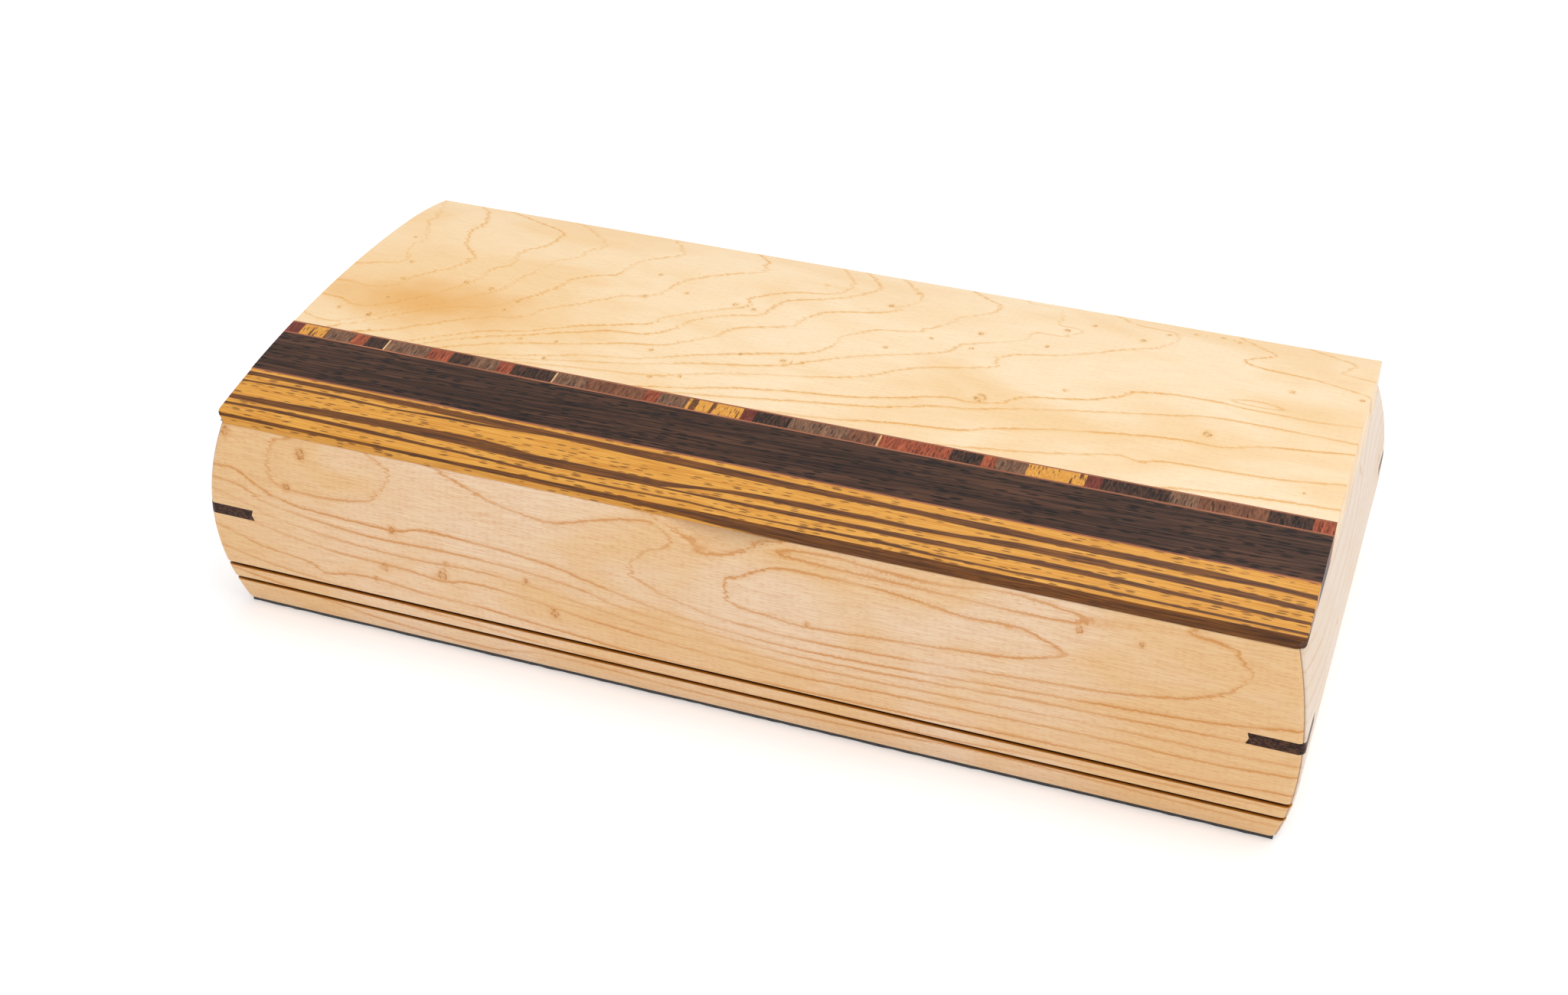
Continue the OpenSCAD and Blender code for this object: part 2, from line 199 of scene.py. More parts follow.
@dataclass(frozen=True)
class BirdsEyes:
    """Small round eyes in maple: x, y and radius of each."""

    eyes: tuple[tuple[float, float, float], ...]
    clear: float = 2.6

    def offsets(self, places: np.ndarray) -> tuple[np.ndarray, np.ndarray]:
        """Finds the nearest eye from each place.

        Args:
            places: Points on the face, one row each.

        Returns:
            The offset to the nearest eye in radii, with the radius in millimetres as its third
            value, and a weight that is 1 near an eye and 0 elsewhere.
        """
        best = np.full(len(places), 1e9)
        offset = np.zeros((len(places), 3))
        for x, y, radius in self.eyes:
            gap = places - np.array([x, y])
            distance = np.hypot(gap[:, 0], gap[:, 1])
            nearer = distance < best
            best = np.where(nearer, distance, best)
            found = np.column_stack([gap / radius, np.full(len(places), radius)])
            offset = np.where(nearer[:, None], found, offset)
        return offset, (best < self.clear).astype(float)


class Graph:
    """Adds and joins nodes in one node tree."""

    def __init__(self, tree: bpy.types.NodeTree) -> None:
        """Keeps the tree that nodes are added to."""
        self.tree = tree

    def add(self, kind: str, feeds: Optional[dict] = None, **settings: object) -> bpy.types.Node:
        """Adds a node.

        Args:
            kind: The node's type.
            feeds: Values or sockets for its inputs, by name or place.
            settings: The node's own settings.

        Returns:
            The node.
        """
        node = self.tree.nodes.new(kind)
        for name, value in settings.items():
            setattr(node, name, value)
        for key, value in (feeds or {}).items():
            socket = node.inputs[key]
            if isinstance(value, bpy.types.NodeSocket):
                self.tree.links.new(value, socket)
            else:
                socket.default_value = value
        return node

    def sum(
        self, kind: str, first: object, second: object = 0.0, clamp: bool = False
    ) -> bpy.types.NodeSocket:
        """Adds a Math node and returns its result.

        Args:
            kind: The operation.
            first: First number or socket.
            second: Second number or socket.
            clamp: Whether the result stays from 0 to 1.

        Returns:
            The result's socket.
        """
        return self.add("ShaderNodeMath", {0: first, 1: second}, operation=kind, use_clamp=clamp).outputs[0]

    def swing(self, value: object, amount: object) -> bpy.types.NodeSocket:
        """Turns a value from 0 to 1 into one that swings about 0.

        Args:
            value: The socket that is read.
            amount: The whole swing, as a number or socket.

        Returns:
            The result's socket.
        """
        return self.sum("MULTIPLY", self.sum("SUBTRACT", value, 0.5), amount)

    def vector(self, kind: str, first: object, second: object) -> bpy.types.NodeSocket:
        """Adds a Vector Math node and returns its vector.

        Args:
            kind: The operation.
            first: First vector or socket.
            second: Second vector or socket.

        Returns:
            The result's socket.
        """
        return self.add("ShaderNodeVectorMath", {0: first, 1: second}, operation=kind).outputs[0]

    def attribute(self, name: str, output: str = "Fac") -> bpy.types.NodeSocket:
        """Reads an attribute of the mesh.

        Args:
            name: The attribute.
            output: Which of its outputs is read.

        Returns:
            The output's socket.
        """
        return self.add("ShaderNodeAttribute", attribute_name=name).outputs[output]

    def fade(
        self, value: object, low: float, high: float, start: object = 0.0, end: object = 1.0
    ) -> bpy.types.NodeSocket:
        """Turns a range of values smoothly into another.

        Args:
            value: The socket that is read.
            low: Value that gives start.
            high: Value that gives end.
            start: Result at low.
            end: Result at high.

        Returns:
            The result's socket.
        """
        feeds = {0: value, 1: low, 2: high, 3: start, 4: end}
        return self.add("ShaderNodeMapRange", feeds, interpolation_type="SMOOTHSTEP").outputs[0]

    def mix(self, factor: object, first: object, second: object, how: str = "MIX") -> bpy.types.NodeSocket:
        """Mixes two colours.

        Args:
            factor: Share of the second.
            first: First colour or socket.
            second: Second colour or socket.
            how: The blend type.

        Returns:
            The mixed colour's socket.
        """
        feeds = {0: factor, 6: first, 7: second}
        return self.add("ShaderNodeMix", feeds, data_type="RGBA", blend_type=how).outputs[2]

    def noise(
        self, vector: object, scale: object, detail: float = 2.0, rough: float = 0.5, bend: float = 0.0
    ) -> bpy.types.NodeSocket:
        """Adds soft noise.

        Args:
            vector: Where it is read.
            scale: How fine it is.
            detail: Number of finer layers.
            rough: Share of the finer layers.
            bend: How much it is bent.

        Returns:
            The value's socket.
        """
        feeds = {"Vector": vector, "Scale": scale, "Detail": detail, "Roughness": rough, "Distortion": bend}
        return self.add("ShaderNodeTexNoise", feeds).outputs[0]

    def stretch(
        self, vector: object, scale: Sequence[float], turn: float = 0.0, move: Sequence[float] = (0, 0, 0)
    ) -> bpy.types.NodeSocket:
        """Stretches and turns a pattern.

        Args:
            vector: The coordinates.
            scale: Scale along each axis.
            turn: Turn about Z in degrees.
            move: Shift along each axis.

        Returns:
            The coordinates' socket.
        """
        feeds = {"Vector": vector, "Location": move, "Rotation": (0, 0, math.radians(turn)), "Scale": scale}
        return self.add("ShaderNodeMapping", feeds).outputs[0]

    def place(self) -> bpy.types.NodeSocket:
        """Coordinates in millimetres on the piece."""
        coords = self.add("ShaderNodeTexCoord").outputs["Object"]
        return self.stretch(coords, (1 / MM, 1 / MM, 1 / MM))


class EffectGroup:
    """A shader effect with named inputs and outputs that several finishes share."""

    name = "effect"
    inputs: tuple[tuple[str, str, object], ...] = ()
    outputs: tuple[tuple[str, str], ...] = ()

    def draw(self, graph: Graph, given: bpy.types.Node, result: bpy.types.Node) -> None:
        """Adds the effect's own nodes."""

    def tree(self) -> bpy.types.NodeTree:
        """Builds the group once and returns it.

        Returns:
            The group's tree.
        """
        found = bpy.data.node_groups.get(self.name)
        if found:
            return found
        tree = bpy.data.node_groups.new(self.name, "ShaderNodeTree")
        for name, kind, value in self.inputs:
            socket = tree.interface.new_socket(name, in_out="INPUT", socket_type=kind)
            if value is not None:
                socket.default_value = value
        for name, kind in self.outputs:
            tree.interface.new_socket(name, in_out="OUTPUT", socket_type=kind)
        given = tree.nodes.new("NodeGroupInput")
        result = tree.nodes.new("NodeGroupOutput")
        self.draw(Graph(tree), given, result)
        return tree

    def use(self, graph: Graph, **feeds: object) -> bpy.types.Node:
        """Places the group in a material.

        Args:
            graph: The material's graph.
            feeds: Values or sockets for its inputs, with _ for a space.

        Returns:
            The group's node.
        """
        node = graph.tree.nodes.new("ShaderNodeGroup")
        node.node_tree = self.tree()
        for name, value in feeds.items():
            socket = node.inputs[name.replace("_", " ")]
            if isinstance(value, bpy.types.NodeSocket):
                graph.tree.links.new(value, socket)
            else:
                socket.default_value = value
        return node


FLOAT = "NodeSocketFloat"
VECTOR = "NodeSocketVector"


class Fibres(EffectGroup):
    """Long fine streaks along the grain."""

    name = "Wood fibres"
    inputs = (("Place", VECTOR, None), ("Length", FLOAT, 20.0), ("Width", FLOAT, 0.4), ("Waver", FLOAT, 0.2))
    outputs = (("Streaks", FLOAT), ("Coarse", FLOAT))

    def draw(self, graph: Graph, given: bpy.types.Node, result: bpy.types.Node) -> None:
        """Lays one noise, stretched along X, over a slower one that bends it."""
        place = given.outputs["Place"]
        slow = graph.noise(graph.stretch(place, (0.02, 0.05, 0.05)), 1.0, 1.0)
        shift = graph.swing(slow, graph.sum("MULTIPLY", given.outputs["Waver"], 10.0))
        shifted = graph.add("ShaderNodeCombineXYZ", {0: 0.0, 1: shift, 2: shift}).outputs[0]
        bent = graph.vector("ADD", place, shifted)
        along = graph.sum("DIVIDE", 1.0, given.outputs["Length"])
        across = graph.sum("DIVIDE", 1.0, given.outputs["Width"])
        scale = graph.add("ShaderNodeCombineXYZ", {0: along, 1: across, 2: across}).outputs[0]
        drawn = graph.vector("MULTIPLY", bent, scale)
        wide = graph.vector("MULTIPLY", drawn, (0.45, 0.22, 0.22))
        graph.tree.links.new(graph.noise(drawn, 1.0, 3.0, 0.6), result.inputs["Streaks"])
        graph.tree.links.new(graph.noise(wide, 1.0, 2.0, 0.5), result.inputs["Coarse"])


class Pores(EffectGroup):
    """Short dark dashes where the saw opened the wood's vessels."""

    name = "Wood pores"
    inputs = (("Place", VECTOR, None), ("Length", FLOAT, 3.0), ("Width", FLOAT, 0.3), ("Amount", FLOAT, 0.4))
    outputs = (("Pores", FLOAT),)

    def draw(self, graph: Graph, given: bpy.types.Node, result: bpy.types.Node) -> None:
        """Thresholds stretched cells, thinned out by slow noise."""
        place = given.outputs["Place"]
        along = graph.sum("DIVIDE", 0.5, given.outputs["Length"])
        across = graph.sum("DIVIDE", 0.5, given.outputs["Width"])
        scale = graph.add("ShaderNodeCombineXYZ", {0: along, 1: across, 2: across}).outputs[0]
        drawn = graph.vector("MULTIPLY", place, scale)
        cells = graph.add("ShaderNodeTexVoronoi", {"Vector": drawn, "Scale": 1.0, "Randomness": 1.0})
        dash = graph.fade(cells.outputs["Distance"], 0.26, 0.46, 1.0, 0.0)
        lottery = graph.add("ShaderNodeSeparateColor", {0: cells.outputs["Color"]}).outputs[0]
        drift = graph.noise(graph.stretch(place, (0.03, 0.35, 0.35)), 1.0, 2.0)
        chance = graph.sum("ADD", graph.sum("MULTIPLY", lottery, 0.65), graph.sum("MULTIPLY", drift, 0.7))
        kept = graph.sum("LESS_THAN", chance, graph.sum("MULTIPLY", given.outputs["Amount"], 1.35))
        graph.tree.links.new(graph.sum("MULTIPLY", dash, kept), result.inputs["Pores"])


class RingLines(EffectGroup):
    """Thin growth lines where the ring count passes a half."""

    name = "Growth lines"
    inputs = (
        ("Rings", FLOAT, 0.0),
        ("Place", VECTOR, None),
        ("Reach", FLOAT, 2.0),
        ("Width", FLOAT, 0.35),
        ("Waver", FLOAT, 0.25),
        ("Drift", FLOAT, 0.0),
        ("Feather", FLOAT, 1.6),
    )
    outputs = (("Line", FLOAT), ("Halo", FLOAT))

    def draw(self, graph: Graph, given: bpy.types.Node, result: bpy.types.Node) -> None:
        """Measures the distance to the nearest line, with small steps across the grain."""
        place = given.outputs["Place"]
        twice = graph.sum("MULTIPLY", given.outputs["Reach"], 2.0)
        fine = graph.noise(graph.stretch(place, (0.9, 0.5, 0.5)), 1.0, 3.0, 0.65)
        wobble = graph.swing(fine, graph.sum("MULTIPLY", given.outputs["Waver"], 4.0))
        count = graph.sum("ADD", given.outputs["Rings"], graph.sum("DIVIDE", wobble, twice))
        along = graph.noise(graph.stretch(place, (0.1, 1.5, 1.5)), 1.0, 3.0, 0.6)
        pull = graph.swing(along, graph.sum("MULTIPLY", given.outputs["Feather"], 4.0))
        count = graph.sum("ADD", count, graph.sum("MULTIPLY", pull, given.outputs["Drift"]))
        part = graph.sum("SUBTRACT", graph.sum("FRACT", count), 0.5)
        gap = graph.sum("MULTIPLY", part, twice)
        near = graph.sum("ABSOLUTE", gap)
        width = given.outputs["Width"]
        line = graph.add(
            "ShaderNodeMapRange", {0: near, 1: graph.sum("MULTIPLY", width, 0.25), 2: width, 3: 1.0, 4: 0.0}
        ).outputs[0]
        whole = graph.sum("FLOOR", count)
        luck = graph.add("ShaderNodeTexWhiteNoise", {"W": whole}, noise_dimensions="1D").outputs[0]
        drift = graph.noise(graph.stretch(place, (0.035, 0.07, 0.07)), 1.0, 2.0)
        strength = graph.fade(drift, 0.3, 0.62, 0.35, 1.0)
        strength = graph.sum("MULTIPLY", strength, graph.sum("ADD", 0.62, graph.sum("MULTIPLY", luck, 0.38)))
        halo = graph.sum("POWER", graph.fade(near, 0.0, 1.5, 1.0, 0.0), 1.5)
        one_side = graph.fade(part, -0.08, 0.08, 0.35, 1.0)
        graph.tree.links.new(graph.sum("MULTIPLY", line, strength), result.inputs["Line"])
        graph.tree.links.new(
            graph.sum("MULTIPLY", graph.sum("MULTIPLY", halo, one_side), strength), result.inputs["Halo"]
        )


class Eyes(EffectGroup):
    """Small broken rings with a brown core where a bird's-eye meets the face."""

    name = "Birds eyes"
    inputs = (("Offset", VECTOR, None), ("Weight", FLOAT, 0.0), ("Place", VECTOR, None))
    outputs = (("Rim", FLOAT), ("Glow", FLOAT))

    def draw(self, graph: Graph, given: bpy.types.Node, result: bpy.types.Node) -> None:
        """Draws a crumpled ring, its core and a soft shade around them."""
        flat = graph.vector("MULTIPLY", given.outputs["Offset"], (1, 1, 0))
        far = graph.add("ShaderNodeVectorMath", {0: flat}, operation="LENGTH").outputs["Value"]
        place = given.outputs["Place"]
        crumple = graph.noise(graph.stretch(place, (1.1, 2.2, 2.2)), 1.0, 2.0, 0.6)
        far = graph.sum("ADD", far, graph.swing(crumple, 1.7))
        from_ring = graph.sum("ABSOLUTE", graph.sum("SUBTRACT", far, 0.62))
        rim = graph.sum("SUBTRACT", 1.0, graph.fade(from_ring, 0.02, 0.36))
        breaks = graph.noise(graph.stretch(place, (0.9, 0.9, 0.9), move=(40, 3, 7)), 1.0, 1.0)
        gaps = graph.fade(breaks, 0.36, 0.6)
        core = graph.fade(far, -0.1, 0.42, 0.75, 0.0)
        rim = graph.sum("MAXIMUM", graph.sum("MULTIPLY", rim, gaps), graph.sum("MULTIPLY", core, crumple))
        glow = graph.fade(far, 0.3, 2.3, 1.0, 0.0)
        weight = given.outputs["Weight"]
        graph.tree.links.new(graph.sum("MULTIPLY", rim, weight), result.inputs["Rim"])
        graph.tree.links.new(graph.sum("MULTIPLY", glow, weight), result.inputs["Glow"])


class Handling(EffectGroup):
    """Uneven polish: faint smears and rubbed places."""

    name = "Handling wear"
    inputs = (("Place", VECTOR, None), ("Base", FLOAT, 0.4), ("Spread", FLOAT, 0.1))
    outputs = (("Roughness", FLOAT),)

    def draw(self, graph: Graph, given: bpy.types.Node, result: bpy.types.Node) -> None:
        """Adds slow smears to the base roughness."""
        place = given.outputs["Place"]
        smear = graph.noise(graph.stretch(place, (0.03, 0.06, 0.06), turn=25), 1.0, 4.0, 0.6)
        change = graph.swing(smear, graph.sum("MULTIPLY", given.outputs["Spread"], 2.0))
        graph.tree.links.new(graph.sum("ADD", given.outputs["Base"], change), result.inputs["Roughness"])


@dataclass(frozen=True)
class Finish:
    """A material with a clear maker's name, built once."""

    name: str

    def paint(self, graph: Graph, shader: bpy.types.Node) -> None:
        """Fills the shader's inputs."""

    @staticmethod
    def join(
        graph: Graph,
        shader: bpy.types.Node,
        colour: bpy.types.NodeSocket,
        rough: bpy.types.NodeSocket,
        bump: bpy.types.Node,
    ) -> None:
        """Feeds colour, roughness and bump to the shader.

        Args:
            graph: The material's nodes.
            shader: The shader.
            colour: Socket for its base colour.
            rough: Socket for its roughness.
            bump: The bump node.
        """
        graph.tree.links.new(colour, shader.inputs["Base Color"])
        graph.tree.links.new(rough, shader.inputs["Roughness"])
        graph.tree.links.new(bump.outputs[0], shader.inputs["Normal"])

    def material(self) -> bpy.types.Material:
        """Builds the material the first time and returns it.

        Returns:
            The material.
        """
        found = bpy.data.materials.get(self.name)
        if found:
            return found
        material = bpy.data.materials.new(self.name)
        material.use_nodes = True
        tree = material.node_tree
        tree.nodes.clear()
        output = tree.nodes.new("ShaderNodeOutputMaterial")
        shader = tree.nodes.new("ShaderNodeBsdfPrincipled")
        tree.links.new(shader.outputs[0], output.inputs["Surface"])
        self.paint(Graph(tree), shader)
        return material

    def dress(self, piece: bpy.types.Object) -> None:
        """Gives the material to all of a piece."""
        if not piece.material_slots:
            piece.data.materials.append(self.material())
        for slot in piece.material_slots:
            slot.material = self.material()


@dataclass(frozen=True)
class Maple(Finish):
    """Pale maple with growth lines, eyes, fine flecks and a shimmer that changes slowly."""

    ground: Colour = shade(249, 226, 190)
    warm: Colour = shade(243, 209, 160)
    line: Colour = shade(220, 156, 72)
    halo: Colour = shade(238, 188, 112)
    line_strength: float = 0.8
    warm_left: float = 0.0
    warm_ends: float = 0.0
    line_width: float = 0.42
    reach: float = 2.0
    waver: float = 0.25
    fleck: float = 0.12
    smoke: float = 0.0
    smoke_tone: Colour = shade(226, 164, 78)
    smoke_place: tuple[float, float, float] = (-115, -12, 0)
    smoke_shape: tuple[float, float, float] = (0.028, 0.075, 0.0)
    smoke_turn: float = -40.0
    eye_tone: Colour = shade(172, 108, 48)
    # Saw-line colours: a golden painted glow near each groove's mouth and dark painted shade deeper in, in
    # place of the light bounced into the grooves and their shadow.
    kerf_painted_glow: Colour = shade(222, 140, 44)
    kerf_painted_shade: Colour = shade(66, 32, 12)
    seam_tone: Colour = shade(120, 84, 58)
    roughness: float = 0.42
    specular: float = 0.2
    grain: Grain = Grain.ALONG_X

    def paint(self, graph: Graph, shader: bpy.types.Node) -> None:
        """Lays shimmer, flecks, growth lines and eyes over the ground colour."""
        place = graph.place()
        if self.grain is Grain.ALONG_Y:
            place = graph.stretch(place, (1, 1, 1), turn=90)
        shimmer = graph.noise(graph.stretch(place, (0.018, 0.035, 0.035), turn=18), 1.0, 2.0, 0.55, 0.6)
        share = graph.fade(shimmer, 0.36, 0.72)
        along = graph.add("ShaderNodeSeparateXYZ", {0: place}).outputs[0]
        if self.warm_left:
            left = graph.fade(along, -130.0, 0.0, self.warm_left, 0.0)
            share = graph.sum("ADD", share, left, clamp=True)
        if self.warm_ends:
            ends = graph.fade(graph.sum("ABSOLUTE", along), 80.0, 150.0, 0.0, self.warm_ends)
            share = graph.sum("ADD", share, ends, clamp=True)
        colour = graph.mix(share, self.ground, self.warm)
        fibres = Fibres().use(graph, Place=place, Length=7.0, Width=0.3, Waver=0.1)
        dull = graph.fade(fibres.outputs["Streaks"], 0.35, 0.7)
        colour = graph.mix(graph.sum("MULTIPLY", dull, self.fleck), colour, self.line)
        dashes = Pores().use(graph, Place=place, Length=1.0, Width=0.11, Amount=0.48)
        colour = graph.mix(graph.sum("MULTIPLY", dashes.outputs["Pores"], self.fleck), colour, self.line)
        if self.smoke:
            across = graph.vector("SUBTRACT", place, self.smoke_place)
            laid = graph.stretch(across, self.smoke_shape, turn=self.smoke_turn)
            far = graph.add("ShaderNodeVectorMath", {0: laid}, operation="LENGTH").outputs["Value"]
            clouds = graph.noise(graph.stretch(place, (0.05, 0.09, 0.09)), 1.0, 3.0)
            ragged = graph.sum("ADD", far, graph.sum("SUBTRACT", clouds, 0.5))
            patch = graph.fade(ragged, 0.1, 1.25, 1.0, 0.0)
            colour = graph.mix(graph.sum("MULTIPLY", patch, self.smoke), colour, self.smoke_tone)
        lines = RingLines().use(
            graph,
            Rings=graph.attribute("rings"),
            Place=place,
            Reach=self.reach,
            Width=self.line_width,
            Waver=self.waver,
            Drift=graph.attribute("drift"),
            Feather=1.6,
        )
        halo = graph.sum("MULTIPLY", lines.outputs["Halo"], self.line_strength * 0.7)
        colour = graph.mix(halo, colour, self.halo)
        line = graph.sum("MULTIPLY", lines.outputs["Line"], self.line_strength)
        colour = graph.mix(line, colour, self.line)
        eyes = Eyes().use(
            graph, Offset=graph.attribute("eye", "Vector"), Weight=graph.attribute("eye_near"), Place=place
        )
        colour = graph.mix(graph.sum("MULTIPLY", eyes.outputs["Glow"], 0.5), colour, self.halo)
        colour = graph.mix(graph.sum("MULTIPLY", eyes.outputs["Rim"], 0.75), colour, self.eye_tone)
        # Painted light in the saw lines: a golden painted glow near the mouth and dark painted shade deeper
        # in the groove.
        kerf = graph.attribute("kerf")
        colour = graph.mix(graph.fade(kerf, 0.02, 0.12), colour, self.kerf_painted_glow)
        colour = graph.mix(graph.fade(kerf, 0.18, 0.5), colour, self.kerf_painted_shade)
        colour = graph.mix(graph.sum("MULTIPLY", graph.attribute("seam"), 0.75), colour, self.seam_tone)
        wear = Handling().use(graph, Place=place, Base=self.roughness, Spread=0.08)
        ribs = graph.sum("MULTIPLY", fibres.outputs["Streaks"], 0.5)
        height = graph.sum("ADD", ribs, graph.sum("MULTIPLY", lines.outputs["Line"], -0.3))
        bump = graph.add("ShaderNodeBump", {"Strength": 0.12, "Distance": 0.0002, "Height": height})
        self.join(graph, shader, colour, wear.outputs["Roughness"], bump)
        shader.inputs["Specular IOR Level"].default_value = self.specular


@dataclass(frozen=True)
class Zebrano(Finish):
    """Golden striped wood. The stripes follow an attribute, or the grain where there is none."""

    light: Colour = shade(236, 174, 78)
    pale_streak: Colour = shade(200, 130, 40)
    deep: Colour = shade(134, 78, 16)
    dark: Colour = shade(60, 28, 4)
    pore: Colour = shade(88, 46, 10)
    specular: float = 0.25
    from_attribute: bool = True

    def paint(self, graph: Graph, shader: bpy.types.Node) -> None:
        """Breaks the stripes into fine streaks, with pores and a silky shine."""
        place = graph.place()
        if self.from_attribute:
            stripe = graph.attribute("stripe")
        else:
            place = graph.stretch(place, (1, 1, 1), turn=90)
            bands = graph.noise(graph.stretch(place, (0.02, 0.55, 0.4)), 1.0, 1.0)
            stripe = graph.fade(bands, 0.55, 0.65)
        fibres = Fibres().use(graph, Place=place, Length=16.0, Width=0.26, Waver=0.15)
        fray = graph.swing(fibres.outputs["Coarse"], 0.9)
        mask = graph.fade(graph.sum("ADD", stripe, fray), 0.22, 0.72)
        streaks = graph.fade(fibres.outputs["Streaks"], 0.3, 0.68)
        pale = graph.mix(streaks, self.light, self.pale_streak)
        deep = graph.mix(streaks, self.deep, self.dark)
        colour = graph.mix(mask, pale, deep)
        pores = Pores().use(graph, Place=place, Length=2.0, Width=0.26, Amount=0.48)
        colour = graph.mix(graph.sum("MULTIPLY", pores.outputs["Pores"], 0.75), colour, self.pore)
        wear = Handling().use(graph, Place=place, Base=0.36, Spread=0.07)
        height = graph.sum("SUBTRACT", fibres.outputs["Streaks"], pores.outputs["Pores"])
        bump = graph.add("ShaderNodeBump", {"Strength": 0.2, "Distance": 0.0002, "Height": height})
        self.join(graph, shader, colour, wear.outputs["Roughness"], bump)
        shader.inputs["Specular IOR Level"].default_value = self.specular


@dataclass(frozen=True)
class StreakedWood(Finish):
    """A dark or red wood with close streaks and open pores."""

    light: Colour = shade(92, 60, 43)
    dark: Colour = shade(34, 18, 12)
    pore: Colour = shade(6, 4, 3)
    streak_length: float = 26.0
    streak_width: float = 0.5
    pore_length: float = 2.4
    pore_width: float = 0.34
    pore_amount: float = 0.54
    tone: float = 0.45
    tilt: float = 0.0
    roughness: float = 0.42
    specular: float = 0.16
    grain: Grain = Grain.ALONG_X

    def paint(self, graph: Graph, shader: bpy.types.Node) -> None:
        """Lays streaks, slow changes of tone and pores over each other."""
        place = graph.place()
        turn = self.tilt + (90 if self.grain is Grain.ALONG_Y else 0)
        if turn:
            place = graph.stretch(place, (1, 1, 1), turn=turn)
        fibres = Fibres().use(
            graph, Place=place, Length=self.streak_length, Width=self.streak_width, Waver=0.12
        )
        streak = graph.fade(fibres.outputs["Streaks"], 0.36, 0.64)
        colour = graph.mix(streak, self.light, self.dark)
        wide = graph.fade(fibres.outputs["Coarse"], 0.35, 0.65)
        colour = graph.mix(graph.sum("MULTIPLY", wide, self.tone), colour, self.dark)
        pores = Pores().use(
            graph, Place=place, Length=self.pore_length, Width=self.pore_width, Amount=self.pore_amount
        )
        colour = graph.mix(graph.sum("MULTIPLY", pores.outputs["Pores"], 0.9), colour, self.pore)
        wear = Handling().use(graph, Place=place, Base=self.roughness, Spread=0.08)
        ribs = graph.sum("MULTIPLY", fibres.outputs["Streaks"], 0.6)
        height = graph.sum("SUBTRACT", ribs, graph.sum("MULTIPLY", pores.outputs["Pores"], 1.4))
        bump = graph.add("ShaderNodeBump", {"Strength": 0.35, "Distance": 0.0003, "Height": height})
        self.join(graph, shader, colour, wear.outputs["Roughness"], bump)
        shader.inputs["Specular IOR Level"].default_value = self.specular


@dataclass(frozen=True)
class Brass(Finish):
    """Brushed brass with slow spots of brown tarnish."""

    bright: Colour = shade(214, 176, 104)
    tarnish: Colour = shade(150, 112, 58)
    roughness: float = 0.3

    def paint(self, graph: Graph, shader: bpy.types.Node) -> None:
        """Draws brush marks along X and slow spots of tarnish."""
        place = graph.place()
        spots = graph.noise(place, 0.35, 4.0, 0.65)
        colour = graph.mix(graph.fade(spots, 0.45, 0.75), self.bright, self.tarnish)
        brushed = graph.noise(graph.stretch(place, (0.3, 12.0, 12.0)), 1.0, 2.0)
        rough = graph.sum("ADD", graph.sum("MULTIPLY", brushed, 0.16), self.roughness - 0.08)
        rough = graph.sum("ADD", rough, graph.sum("MULTIPLY", graph.fade(spots, 0.5, 0.8), 0.15))
        bump = graph.add("ShaderNodeBump", {"Strength": 0.15, "Distance": 0.0001, "Height": brushed})
        self.join(graph, shader, colour, rough, bump)
        shader.inputs["Metallic"].default_value = 1.0


@dataclass(frozen=True)
class Felt(Finish):
    """Pressed wool felt with a short matted nap."""

    wool: Colour = shade(34, 32, 36)
    lint: Colour = shade(70, 68, 72)

    def paint(self, graph: Graph, shader: bpy.types.Node) -> None:
        """Mats fine hairs in two directions over clumps of wool."""
        place = graph.place()
        clumps = graph.noise(place, 0.9, 4.0, 0.7, 0.8)
        hairs = graph.noise(graph.stretch(place, (1.2, 9.0, 9.0), turn=35), 1.0, 2.0, 0.6, 1.2)
        crossing = graph.noise(graph.stretch(place, (9.0, 1.2, 9.0), turn=20), 1.0, 2.0, 0.6, 1.2)
        nap = graph.sum("MAXIMUM", hairs, crossing)
        colour = graph.mix(graph.fade(nap, 0.5, 0.78), self.wool, self.lint)
        colour = graph.mix(graph.sum("MULTIPLY", graph.fade(clumps, 0.4, 0.7), 0.35), colour, self.wool)
        height = graph.sum("ADD", nap, clumps)
        bump = graph.add("ShaderNodeBump", {"Strength": 0.7, "Distance": 0.0004, "Height": height})
        rough = graph.fade(nap, 0.3, 0.8, 0.98, 0.86)
        self.join(graph, shader, colour, rough, bump)
        shader.inputs["Sheen Weight"].default_value = 0.25
        shader.inputs["Sheen Roughness"].default_value = 0.6


LID_MAPLE = Maple("Lid maple", smoke=0.75, warm_left=0.5, fleck=0.16)
FRONT_MAPLE = Maple(
    "Front wall maple",
    ground=shade(245, 216, 183),
    warm=shade(240, 200, 148),
    line=shade(206, 134, 60),
    halo=shade(222, 158, 90),
    line_strength=0.8,
    reach=1.6,
    fleck=0.3,
    warm_ends=0.8,
)
BACK_MAPLE = Maple(
    "Back wall maple",
    ground=shade(245, 216, 183),
    warm=shade(240, 200, 148),
    line=shade(206, 134, 60),
    halo=shade(222, 158, 90),
    line_strength=0.7,
    reach=1.6,
    fleck=0.3,
    warm_ends=0.5,
)
